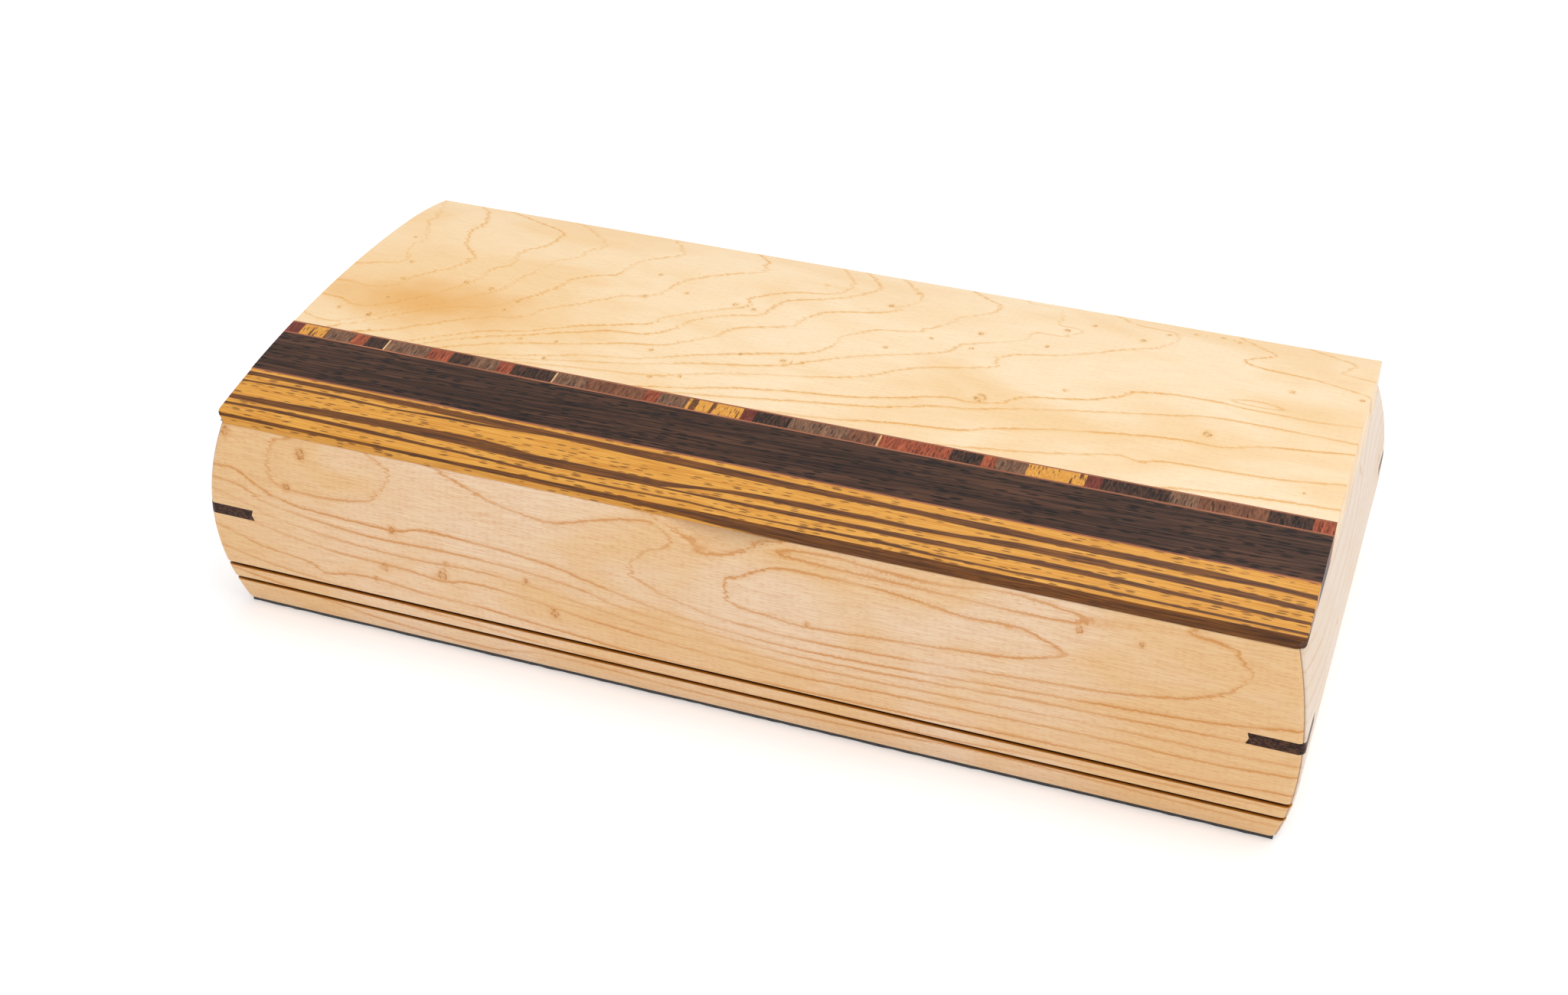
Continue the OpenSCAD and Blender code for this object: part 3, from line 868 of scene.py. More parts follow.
# End walls: maple painted paler and greyer than the front's, with fainter lines, as painted glare of the
# brightly lit end faces.
END_MAPLE_PAINTED_GLARE = Maple(
    "End wall maple painted glare",
    ground=shade(234, 218, 202),
    warm=shade(230, 208, 182),
    line=shade(206, 160, 112),
    halo=shade(226, 196, 158),
    line_strength=0.4,
    reach=1.6,
    fleck=0.16,
    grain=Grain.ALONG_Y,
)
REST_MAPLE = Maple(
    "Rest maple", ground=shade(228, 194, 148), warm=shade(214, 176, 126), fleck=0.3, grain=Grain.ALONG_Y
)
BOTTOM_BIRCH = Maple("Bottom birch", ground=shade(230, 204, 160), warm=shade(216, 184, 136), fleck=0.35)
LIP_ZEBRANO = Zebrano("Lip zebrano")
BLOCK_ZEBRANO = Zebrano("Block zebrano", from_attribute=False)
BAND_WENGE = StreakedWood("Band wenge", tilt=-1.5)
SPLINE_WENGE = StreakedWood("Spline wenge", streak_length=9.0, pore_amount=0.35, tilt=30.0)
BLOCK_WENGE = StreakedWood("Block wenge", streak_width=0.42, streak_length=12.0, grain=Grain.ALONG_Y)
BLOCK_ROSEWOOD = StreakedWood(
    "Block rosewood",
    light=shade(138, 68, 50),
    dark=shade(92, 38, 30),
    streak_width=0.4,
    streak_length=10.0,
    pore_amount=0.35,
    pore=shade(62, 24, 18),
    grain=Grain.ALONG_Y,
)
BLOCK_GREY = StreakedWood(
    "Block grey wood",
    light=shade(146, 108, 82),
    dark=shade(96, 66, 48),
    streak_width=0.5,
    streak_length=14.0,
    pore_amount=0.42,
    pore=shade(54, 42, 34),
    grain=Grain.ALONG_Y,
)
BLOCK_PADAUK = StreakedWood(
    "Block padauk",
    light=shade(184, 96, 62),
    dark=shade(124, 58, 38),
    streak_width=0.45,
    streak_length=10.0,
    pore_amount=0.4,
    pore=shade(96, 36, 22),
    grain=Grain.ALONG_Y,
)
BLOCK_MAPLE = StreakedWood(
    "Block maple line",
    light=shade(230, 188, 138),
    dark=shade(206, 156, 104),
    pore_amount=0.1,
    grain=Grain.ALONG_Y,
)
BLOCK_WALNUT = StreakedWood(
    "Block walnut",
    light=shade(142, 92, 64),
    dark=shade(96, 58, 40),
    streak_width=0.45,
    streak_length=14.0,
    pore_amount=0.36,
    pore=shade(60, 34, 22),
    grain=Grain.ALONG_Y,
)
STRINGING = StreakedWood(
    "Stringing",
    light=shade(182, 116, 84),
    dark=shade(140, 84, 60),
    streak_width=0.2,
    pore_amount=0.2,
    pore=shade(84, 46, 32),
)
HINGE_BRASS = Brass("Hinge brass")
SCREW_BRASS = Brass("Screw brass", bright=shade(198, 158, 92), roughness=0.36)
BASE_FELT = Felt("Base felt")
FLOOR_FELT = Felt("Floor felt", wool=shade(44, 43, 48), lint=shade(84, 82, 88))

LID_LINES = GrowthLines(
    open_lines=(
        ((-147, 121), (-143.5, 112), (-141.2, 105), (-142, 102.5), (-137.8, 94.5), (-136.5, 90),
         (-137.7, 85), (-134.3, 77.5), (-135.5, 75), (-140, 73.5), (-148, 70)),
        ((-134, 121), (-129, 116), (-125.4, 106), (-126.3, 101), (-122.8, 91.5), (-119, 88),
         (-116.6, 85), (-117.5, 80.5), (-120, 76), (-127, 69.5), (-130, 63), (-136, 60.6),
         (-143, 61.1), (-148, 60.6)),
        ((-123, 121), (-112, 116), (-101, 111), (-99.3, 104), (-100.5, 99), (-105, 93),
         (-103.7, 85), (-108, 79.5), (-108.3, 73), (-118, 61), (-126, 54.5), (-132, 51),
         (-137, 51), (-141, 52.6), (-148, 53)),
        ((-102, 122), (-93, 116), (-84.3, 107), (-87, 100.5), (-87.2, 96), (-92.5, 91),
         (-95, 83.5), (-97.5, 77), (-99.5, 70.5), (-109, 61), (-121, 52.5), (-131, 44),
         (-141, 41.8), (-148, 43.8)),
        ((-67.5, 122), (-62, 113.5), (-59.8, 110), (-63, 106), (-69, 100.5), (-71, 93),
         (-71.5, 90), (-78, 86.5), (-82.3, 83), (-85.3, 75.5), (-91, 67.5), (-98, 61),
         (-110, 57), (-123, 49), (-129, 45)),
        ((-41, 122), (-36, 117.5), (-33.8, 115.5), (-34.3, 112.5), (-32.5, 108), (-40, 103),
         (-50, 95), (-53, 90), (-54.7, 84), (-58.5, 80.5), (-65, 78), (-73, 71.5), (-82, 65),
         (-87, 59), (-95, 56.5), (-106, 51), (-118, 43.5), (-124, 41)),
        ((-13, 122), (-8, 115), (-5, 108), (-8, 101), (-19, 97.8), (-28.5, 91), (-29.7, 89.5),
         (-28, 85), (-37, 79.5), (-48, 71.5), (-50, 67.5), (-60, 63.4), (-72, 58.7), (-82, 53),
         (-95, 49), (-108, 40.5)),
        ((-6, 122), (0, 115.5), (2.8, 109.5), (-1.5, 102.5), (-8, 97.5), (-19, 92), (-21, 87),
         (-23.5, 81.5), (-32, 78), (-40, 72), (-43, 67), (-49, 62), (-60, 60.2), (-72, 55.5),
         (-86, 50), (-101, 43.5)),
        ((6, 122), (11, 116), (16.8, 108.5), (14.7, 102), (10, 99.5), (13, 98.5), (8, 94.5),
         (-5, 90), (-10.5, 84), (-12.5, 78.7), (-26, 72.8), (-31.5, 66), (-42.5, 58.5),
         (-53, 56), (-65, 52), (-86, 46), (-98, 41)),
        ((27, 122), (33, 117.2), (38.7, 113), (38.5, 107), (30.5, 100), (29.5, 96.5), (24.8, 91),
         (21, 87.3), (10.5, 84.5), (3, 77.5), (3.3, 75), (-1.5, 67.8), (-14, 63), (-26, 59),
         (-38, 54), (-47, 50.3), (-62, 47.5), (-75, 43)),
        ((45, 122), (46, 119.5), (55.5, 118), (57.5, 111.5), (58.5, 106.5), (65, 105.5),
         (62, 100), (53, 99), (51.8, 93.8), (41.5, 88), (35.5, 84.8), (33, 79.8), (21, 74),
         (8, 68.5), (-5, 60.5), (-14, 57), (-29, 53.5), (-47, 48), (-65, 44)),
        ((71, 122), (79, 116.5), (90, 115), (91.5, 109), (87, 102.5), (79, 98), (65, 89.5),
         (50, 84), (47.5, 79), (48.3, 77), (40, 73.5), (28, 69.5), (15.5, 61), (4, 57),
         (-10, 53.8), (-26, 49.5), (-38, 45), (-56, 42.5)),
        ((107, 122), (112, 117), (119.5, 111.3), (112.3, 104.5), (117, 101.5), (132, 100),
         (144, 97), (148, 95)),
        ((127, 121.5), (135, 117.5), (141.5, 114), (139, 108.5), (140, 106.3), (148, 105)),
        ((148, 79.5), (134, 78.2), (114, 79.3), (98, 79), (86.5, 76.5), (85.5, 74.5),
         (76, 69.2), (60, 65), (54.5, 60.5), (46, 58.5), (40, 58.8), (29, 55), (16, 51.3),
         (0, 49), (-17, 45.5), (-33, 40.8)),
        ((148, 71.3), (113, 71.8), (99, 69), (84, 65.5), (62, 60), (48, 55.8), (37, 53.8),
         (24, 49.3), (3, 45.5), (-18, 41.5), (-28, 40)),
        ((148, 66.5), (136, 64.5), (124, 62.5), (115, 59.3), (102, 59), (78, 55), (58, 50),
         (48, 46.3), (30, 44), (14, 41), (5, 40)),
        ((148, 53.5), (130, 50.5), (102.5, 49.2), (96, 47.3), (90, 48.3), (80, 45.7),
         (66, 42.5), (55, 40.7)),
        ((148, 43.5), (132, 42.5), (112, 40.6), (104, 39.3)),
    ),
    closed_lines=(((113, 81.6), (119, 83), (126, 82), (127, 81), (121, 80), (115, 80.3)),),
)
LID_EYES = BirdsEyes(
    (
        (-139.5, 90.5, 0.6), (-132, 76.3, 0.8), (-129.5, 67.2, 0.9), (-110.8, 71, 0.9),
        (-102.3, 70, 0.9), (-91.5, 66, 0.6), (-93.3, 60.7, 0.7), (-128.3, 56.7, 0.7),
        (-129, 47.7, 0.9), (-139, 48.3, 0.7), (-125, 41, 0.6), (-82, 49.5, 0.7),
        (-71.7, 51, 0.6), (-71.3, 43.3, 0.7), (-59.8, 94.2, 0.7), (-48, 86.2, 0.7),
        (-58.5, 80.5, 0.9), (-32, 84.7, 0.9), (-26, 83.6, 0.8), (-44.7, 55.3, 0.7),
        (-39.8, 44, 0.7), (-32, 46.3, 0.6), (-20.3, 60.8, 0.6), (-7.8, 61.2, 0.9),
        (-2.5, 62, 0.6), (-12, 106, 0.7), (10, 100, 0.9), (14.7, 111.2, 0.9),
        (39.3, 93, 0.9), (39.2, 84, 0.7), (27, 85.5, 0.6), (16.5, 76.7, 0.7),
        (61.5, 103.7, 0.9), (67.8, 110.2, 0.8), (58.7, 92.4, 0.7), (48.8, 61.2, 1.9),
        (69.5, 71.7, 0.7), (83, 105.7, 0.9), (89, 112.8, 0.8), (96, 117, 0.7),
        (103.7, 118, 0.7), (108.5, 116.5, 0.9), (127.5, 91.2, 0.8), (146, 93.2, 0.7),
        (110, 63.6, 1.4), (138.2, 47.2, 0.4),
    )
)
FRONT_LINES = GrowthLines(
    reach=1.6,
    open_lines=(
        ((-80, -1), (-71, -4), (-64, -6), (-55, -7.5), (-47, -8), (-40, -6.5), (-31, -4),
         (-20, -2.3), (-14, -2.6), (-10, -4.3), (-3, -4.7), (3, -4.3), (11, -2.2), (14, -1.2)),
        ((-14, -5.6), (-12, -6.9), (-4, -7.6), (6, -5.7), (15, -2.5), (30, -1.5), (42, -2.2),
         (60, -2.5), (75, -1), (90, -2.3), (98, -3), (112, -1.3)),
        ((-149, -11.8), (-142, -12), (-136, -15.5), (-128, -18.3), (-119, -19.4), (-100, -20),
         (-92, -19.8), (-85, -18), (-67, -18.5), (-50, -19.7), (-40, -21.5), (-24, -24.8),
         (-6, -27.4), (20, -28.7), (47, -28), (77, -26.2), (100, -25), (128, -23.2), (150, -20.2)),
        ((-149.5, -15.5), (-140, -16.8), (-134, -20), (-115, -22.5), (-100, -23.5), (-80, -23),
         (-60, -23.4), (-41, -25), (-30, -27.5), (-18, -29), (0, -30), (25, -31), (60, -29.7),
         (85, -28.3), (110, -27.6), (139, -26.5), (150, -25.5)),
        ((-149, -19.3), (-139, -21.8), (-132, -24), (-118, -26.2), (-100, -27.4), (-86, -27.6),
         (-72, -26.9), (-58, -27.3), (-42, -29.3), (-20, -32.2), (0, -33.2), (28, -33.8),
         (60, -33), (95, -31.6), (125, -31.2), (151, -30.5)),
        ((-149, -24.5), (-138, -27), (-125, -29.5), (-110, -31.2), (-93, -31.6), (-80, -32.8),
         (-72, -31.2), (-60, -31.7), (-45, -33.5), (-25, -35.7), (-4, -37), (8, -37.4),
         (24, -37.7), (45, -36.8), (72, -36), (100, -35.3), (130, -35.3), (150, -34)),
        ((-149, -30.8), (-137, -34.6), (-122, -36.8), (-118, -39.5), (-110, -37.7),
         (-100, -37.3), (-86, -38.7), (-70, -39), (-57, -40), (-40, -41.3), (-24, -42.5),
         (10, -42.6), (55, -42), (78, -41.2), (105, -40.8), (120, -41.8), (145, -40.3), (151, -40)),
        ((-149, -37.7), (-136, -40.5), (-118, -42.5), (-88, -45), (-65, -46.6), (-50, -47.5),
         (0, -48.6), (60, -48), (90, -46.5), (140, -45.6)),
        ((-130, -48.5), (-116, -50.8), (-100, -53.3), (-70, -54.7), (-50, -51.5), (0, -53),
         (50, -51.2), (72, -50), (140, -52)),
    ),
    closed_lines=(
        ((-128.5, -1), (-131.5, -4), (-132.5, -7.5), (-130.5, -13.5), (-122.5, -14.7),
         (-112, -14.6), (-102, -13), (-97.5, -9), (-95, -4.5), (-99, -1.5), (-112, 3)),
        ((-11, -7), (-18, -9.3), (-22.5, -12.5), (-24.3, -16.5), (-20, -19.5), (-12.5, -22),
         (0, -24.4), (20, -25.5), (40, -25), (60, -24), (85, -22.3), (104, -20.9),
         (121, -18.3), (130, -15.2), (135.5, -11), (137, -8.5), (133.5, -5), (132, -3),
         (121, -1.7), (117, -1.2), (90, -5), (50, -4.5), (10, -4)),
        ((2.5, -13), (4, -19.2), (15, -20.8), (25, -21.5), (44, -20.2), (65, -18.6),
         (79, -17.2), (89, -14.8), (92.5, -13.2), (87, -11), (79, -9), (66, -9.2), (57, -8.2),
         (44, -7), (28, -6.8), (17, -7), (11, -9), (5, -12)),
    ),
)
FRONT_EYES = BirdsEyes(
    (
        (-145.5, -2, 1.6), (-122, -4, 1.7), (-126.7, -14, 1.2), (-94.5, -20, 1.2),
        (-78.7, -26.8, 0.8), (-80.2, -31, 1.7), (-98, -32.2, 1.3), (-101.5, -37, 0.9),
        (-54.7, -26.5, 0.8), (-47, -35, 1.5), (94.5, -6.3, 1.0), (110, -6.7, 0.7),
        (77, -9.2, 0.7), (25, -20.6, 0.7),
    )
)


@dataclass(frozen=True)
class Stripe:
    """One dark stripe of zebrano: points of x, its lower edge and its upper edge."""

    edges: tuple[tuple[float, float, float], ...]

    def cover(self, places: np.ndarray, reach: float) -> np.ndarray:
        """How far each place lies inside the stripe, from 0 to 1.

        Args:
            places: Points on the lip, one row each.
            reach: Distance over which the edge fades.

        Returns:
            The cover.
        """
        given = np.array(self.edges)
        low = np.interp(places[:, 0], given[:, 0], given[:, 1])
        high = np.interp(places[:, 0], given[:, 0], given[:, 2])
        inside = np.minimum(places[:, 1] - low, high - places[:, 1])
        return np.clip(0.5 + inside / (2 * reach), 0, 1)


LIP_STRIPES = (
    Stripe(((-148, 15.2, 16.6), (-110, 15.3, 16.9), (-75, 15.0, 16.9), (-50, 14.6, 16.6),
            (-25, 14.0, 16.5), (0, 13.8, 16.1), (20, 13.7, 15.6), (50, 13.6, 15.2),
            (65, 13.0, 15.2), (80, 13.0, 14.8), (100, 12.8, 14.9), (120, 12.7, 14.7),
            (140, 12.7, 14.2), (148, 12.3, 13.8))),
    Stripe(((-148, 12.7, 13.2), (-135, 13.1, 13.8), (-120, 13.2, 14.2), (-100, 13.1, 13.7),
            (-85, 13.6, 14.3), (-75, 13.7, 14.5), (-60, 14.4, 14.8), (-52, 14.9, 14.9),
            (148, 14.0, 14.0))),
    Stripe(((-148, 6.1, 7.6), (-130, 6.1, 8.0), (-118, 6.2, 8.6), (-100, 6.5, 8.9),
            (-90, 6.3, 9.1), (-78, 6.2, 9.4), (-65, 5.7, 8.8), (-55, 5.3, 7.8),
            (-40, 5.2, 7.9), (-30, 5.4, 7.9), (-20, 5.9, 7.9), (-10, 7.4, 8.5),
            (0, 8.2, 9.4), (10, 8.4, 9.9), (20, 8.3, 10.1), (45, 8.6, 10.0),
            (60, 9.0, 10.2), (75, 9.5, 11.4), (90, 9.3, 11.4), (100, 9.4, 11.0),
            (115, 9.0, 11.0), (130, 8.8, 10.4), (148, 8.4, 9.8))),
    Stripe(((-148, 6.0, 6.0), (-30, 5.6, 5.7), (-10, 5.4, 6.2), (0, 5.3, 6.3), (20, 5.3, 6.5),
            (45, 5.4, 6.8), (60, 5.6, 6.9), (80, 5.8, 7.3), (85, 5.7, 7.4), (100, 5.5, 6.9),
            (120, 5.2, 6.3), (148, 4.8, 5.7))),
    Stripe(((-148, 3.9, 4.7), (-130, 4.2, 5.1), (-115, 3.9, 5.0), (-100, 3.5, 4.7),
            (-85, 3.4, 4.2), (-75, 3.3, 4.1), (-60, 2.7, 3.3), (-48, 2.4, 3.1), (-30, 2.4, 3.0),
            (-10, 2.6, 3.4), (0, 2.3, 2.9), (5, 2.1, 2.6), (20, 2.2, 2.8), (40, 2.5, 3.6),
            (55, 2.1, 2.8), (75, 2.0, 2.6), (90, 2.0, 3.2), (110, 2.0, 2.7), (148, 1.6, 2.3))),
    Stripe(((-148, -0.9, 0.3), (-90, -1.0, 0.1), (-60, -1.4, 0.3), (-20, -1.7, 0.2),
            (0, -2.8, 0.6), (60, -3.4, 0.8), (110, -3.4, 0.5), (148, -3.4, 0.9))),
)


@dataclass
class Camera:
    """Camera at the photograph's place, worked out from the box's own edges."""

    place: tuple[float, float, float] = (168.745, -428.710, 315.460)
    yaw: float = -16.7202
    down: float = 34.3754
    roll: float = 2.2562
    lens: float = 42.7203
    shift: tuple[float, float] = (-0.106435, 0.048167)

    def build(self) -> bpy.types.Object:
        """Adds the camera and makes it the scene's own.

        Returns:
            The camera.
        """
        yaw, down, roll = (math.radians(a) for a in (self.yaw, self.down, self.roll))
        ahead = Vector((math.sin(yaw) * math.cos(down), math.cos(yaw) * math.cos(down), -math.sin(down)))
        level = Vector((math.cos(yaw), -math.sin(yaw), 0))
        over = level.cross(ahead)
        right = level * math.cos(roll) + over * math.sin(roll)
        up = over * math.cos(roll) - level * math.sin(roll)
        data = bpy.data.cameras.new("Camera")
        data.sensor_width = 36
        data.lens = self.lens
        data.shift_x, data.shift_y = self.shift
        data.clip_start = 0.01
        data.clip_end = 50
        camera = bpy.data.objects.new("Camera", data)
        bpy.context.scene.collection.objects.link(camera)
        turn = Matrix((right, up, -ahead)).transposed().to_4x4()
        camera.matrix_world = Matrix.Translation(Vector(self.place) * MM) @ turn
        bpy.context.scene.camera = camera
        return camera


@dataclass
class Lamp:
    """A square soft lamp that points at the box."""

    name: str
    place: tuple[float, float, float]
    size: float
    power: float
    colour: tuple[float, float, float] = (1.0, 1.0, 1.0)

    def build(self) -> bpy.types.Object:
        """Adds the lamp.

        Returns:
            The lamp.
        """
        data = bpy.data.lights.new(self.name, "AREA")
        data.shape = "SQUARE"
        data.size = self.size
        data.energy = self.power
        data.color = self.colour
        lamp = bpy.data.objects.new(self.name, data)
        bpy.context.scene.collection.objects.link(lamp)
        lamp.location = self.place
        aim = Vector((0, 0, 0.04)) - Vector(self.place)
        lamp.rotation_euler = aim.to_track_quat("-Z", "Y").to_euler()
        return lamp


@dataclass
class Studio:
    """White floor, soft lamps and an even white surround."""

    floor_radius: float = 6.0
    surround: float = 0.55
    floor_lift: float = 0.25
    lamps: tuple[Lamp, ...] = (
        Lamp("Overhead softbox", (0.25, 0.25, 1.5), 1.5, 11.0),
        Lamp("Right softbox", (1.3, -0.35, 0.75), 0.9, 3.6),
        Lamp("Front softbox", (-0.5, -1.4, 0.9), 1.0, 5.0),
    )

    def build(self) -> None:
        """Adds the floor, the lamps and the world."""
        view = bpy.context.scene.view_settings
        view.view_transform = "Standard"
        self.floor()
        for lamp in self.lamps:
            lamp.build()
        self.world()
        log.info("studio: white floor, %d soft lamps", len(self.lamps))

    def backdrop_seen(self, graph: Graph) -> bpy.types.NodeSocket:
        """Gives 1 where the camera sees the backdrop itself, in a mirror or through glass."""
        path = graph.add("ShaderNodeLightPath")
        seen = graph.sum("MAXIMUM", path.outputs["Is Camera Ray"], path.outputs["Is Glossy Ray"])
        return graph.sum("MAXIMUM", seen, path.outputs["Is Transmission Ray"])

    def floor(self) -> bpy.types.Object:
        """Adds the floor, which keeps the box's shadow.

        Returns:
            The floor.
        """
        bpy.ops.object.select_all(action="DESELECT")
        bpy.ops.mesh.primitive_circle_add(vertices=96, radius=self.floor_radius, fill_type="NGON")
        floor = bpy.context.object
        floor.name = "Floor"
        material = bpy.data.materials.new("White floor")
        material.use_nodes = True
        tree = material.node_tree
        tree.nodes.clear()
        graph = Graph(tree)
        paper = graph.noise(graph.place(), 0.02, 3.0)
        tint = graph.mix(paper, shade(246, 245, 247), shade(249, 248, 249))
        diffuse = graph.add("ShaderNodeBsdfDiffuse", {"Color": tint})
        lift = graph.sum("MULTIPLY", self.backdrop_seen(graph), self.floor_lift)
        glow = graph.add("ShaderNodeEmission", {"Strength": lift})
        lit = graph.add("ShaderNodeAddShader", {0: diffuse.outputs[0], 1: glow.outputs[0]})
        through = graph.add("ShaderNodeBsdfTransparent")
        back = graph.add("ShaderNodeNewGeometry").outputs["Backfacing"]
        both = graph.add("ShaderNodeMixShader", {0: back, 1: lit.outputs[0], 2: through.outputs[0]})
        graph.add("ShaderNodeOutputMaterial", {"Surface": both.outputs[0]})
        floor.data.materials.append(material)
        return floor

    def world(self) -> None:
        """Sets an even surround that is seen as white."""
        world = bpy.data.worlds.new("White surround")
        bpy.context.scene.world = world
        world.use_nodes = True
        tree = world.node_tree
        tree.nodes.clear()
        graph = Graph(tree)
        light = graph.add("ShaderNodeBackground", {"Color": (1, 1, 1, 1), "Strength": self.surround})
        white = graph.add("ShaderNodeBackground", {"Color": (1, 1, 1, 1), "Strength": 1.0})
        seen = self.backdrop_seen(graph)
        both = graph.add("ShaderNodeMixShader", {0: seen, 1: light.outputs[0], 2: white.outputs[0]})
        graph.add("ShaderNodeOutputWorld", {"Surface": both.outputs[0]})


class Bench:
    """Steps of the workshop that every board goes through, done in edit mode."""

    @staticmethod
    def edit(piece: bpy.types.Object) -> None:
        """Opens one piece in edit mode, with nothing else selected."""
        bpy.ops.object.select_all(action="DESELECT")
        piece.select_set(True)
        bpy.context.view_layer.objects.active = piece
        bpy.ops.object.mode_set(mode="EDIT")

    @staticmethod
    def leave() -> None:
        """Goes back to object mode."""
        bpy.ops.object.mode_set(mode="OBJECT")

    @staticmethod
    def select_edges(piece: bpy.types.Object, wanted: Callable[[bmesh.types.BMEdge], bool]) -> int:
        """Selects edges by their place while the piece is open in edit mode.

        Args:
            piece: The piece.
            wanted: Tells whether an edge is wanted.

        Returns:
            The number selected.
        """
        bpy.ops.mesh.select_all(action="DESELECT")
        bpy.context.tool_settings.mesh_select_mode = (False, True, False)
        mesh = bmesh.from_edit_mesh(piece.data)
        count = 0
        for edge in mesh.edges:
            if wanted(edge):
                edge.select_set(True)
                count += 1
        bmesh.update_edit_mesh(piece.data)
        return count

    @staticmethod
    def saw(name: str, section: Sequence[Point], length: float, cuts: Sequence[int]) -> bpy.types.Object:
        """Saws a board to a section and marks it off along its length.

        Args:
            name: The board's name.
            section: Corners of its section, as y and z in millimetres.
            length: Its length in millimetres.
            cuts: Numbers of cuts along it, one after the other.

        Returns:
            The board, in millimetres, lying along X about the origin.
        """
        bpy.ops.object.select_all(action="DESELECT")
        bpy.ops.mesh.primitive_circle_add(vertices=len(section), radius=1.0, fill_type="NGON")
        piece = bpy.context.object
        piece.name = piece.data.name = name
        for vertex, (y, z) in zip(piece.data.vertices, section):
            vertex.co = (-length / 2, y, z)
        Bench.edit(piece)
        bpy.ops.mesh.select_all(action="SELECT")
        bpy.ops.mesh.extrude_region_move(TRANSFORM_OT_translate={"value": (length, 0, 0)})
        for count in cuts:
            Bench.select_edges(piece, lambda e: abs(e.verts[0].co.x - e.verts[1].co.x) > 1e-3)
            bpy.ops.mesh.subdivide(number_cuts=count)
        bpy.ops.mesh.select_all(action="SELECT")
        bpy.ops.mesh.normals_make_consistent(inside=False)
        Bench.leave()
        return piece

    @staticmethod
    def cut(piece: bpy.types.Object, cutter: bpy.types.Object) -> None:
        """Cuts one piece with another, which is then thrown away.

        Args:
            piece: The piece that is cut.
            cutter: The shape that is taken out of it.
        """
        bpy.context.view_layer.objects.active = piece
        modifier = piece.modifiers.new("Cut", "BOOLEAN")
        modifier.operation = "DIFFERENCE"
        modifier.solver = "EXACT"
        modifier.object = cutter
        bpy.ops.object.modifier_apply(modifier=modifier.name)
        bpy.data.objects.remove(cutter)

    @staticmethod
    def block(low: Sequence[float], high: Sequence[float]) -> bpy.types.Object:
        """Makes a plain block to cut with.

        Args:
            low: Its lowest corner in millimetres.
            high: Its highest corner.

        Returns:
            The block.
        """
        middle = [(a + b) / 2 for a, b in zip(low, high)]
        bpy.ops.object.select_all(action="DESELECT")
        bpy.ops.mesh.primitive_cube_add(size=1, location=middle, scale=[b - a for a, b in zip(low, high)])
        block = bpy.context.object
        bpy.ops.object.transform_apply(location=True, rotation=True, scale=True)
        return block

    @staticmethod
    def drill(radius: float, length: float, centre: Sequence[float], axis: str) -> bpy.types.Object:
        """Makes a rod to cut with.

        Args:
            radius: Its radius in millimetres.
            length: Its length.
            centre: Its middle.
            axis: The axis that it lies along, X or Y.

        Returns:
            The rod.
        """
        turn = (0, math.pi / 2, 0) if axis == "X" else (math.pi / 2, 0, 0)
        bpy.ops.object.select_all(action="DESELECT")
        bpy.ops.mesh.primitive_cylinder_add(
            vertices=48, radius=radius, depth=length, location=centre, rotation=turn
        )
        rod = bpy.context.object
        bpy.ops.object.transform_apply(location=True, rotation=True, scale=True)
        return rod

    @staticmethod
    def seat(piece: bpy.types.Object, turn: float = 0.0, move: Sequence[float] = (0, 0, 0)) -> None:
        """Turns a board to its place and brings it from millimetres to metres.

        Args:
            piece: The board.
            turn: Turn about Z in degrees.
            move: Its place in millimetres.
        """
        place = Matrix.Translation(Vector(move)) @ Matrix.Rotation(math.radians(turn), 4, "Z")
        piece.data.transform(Matrix.Scale(MM, 4) @ place)
        bpy.ops.object.select_all(action="DESELECT")
        piece.select_set(True)
        bpy.context.view_layer.objects.active = piece
        bpy.ops.object.shade_smooth_by_angle(angle=math.radians(32))

    @staticmethod
    def places(piece: bpy.types.Object) -> np.ndarray:
        """Reads all corners of a piece.

        Args:
            piece: The piece.

        Returns:
            One row of x, y and z for each.
        """
        flat = np.empty(len(piece.data.vertices) * 3)
        piece.data.vertices.foreach_get("co", flat)
        return flat.reshape(-1, 3)

    @staticmethod
    def put(piece: bpy.types.Object, places: np.ndarray) -> None:
        """Moves all corners of a piece."""
        piece.data.vertices.foreach_set("co", places.ravel())
        piece.data.update()

    @staticmethod
    def mark(piece: bpy.types.Object, name: str, values: np.ndarray) -> None:
        """Keeps a value at each corner of a piece.

        Args:
            piece: The piece.
            name: The attribute's name.
            values: One number or one row of three for each corner.
        """
        vector = values.ndim == 2
        kind = "FLOAT_VECTOR" if vector else "FLOAT"
        attribute = piece.data.attributes.new(name, kind, "POINT")
        attribute.data.foreach_set("vector" if vector else "value", values.astype(np.float32).ravel())


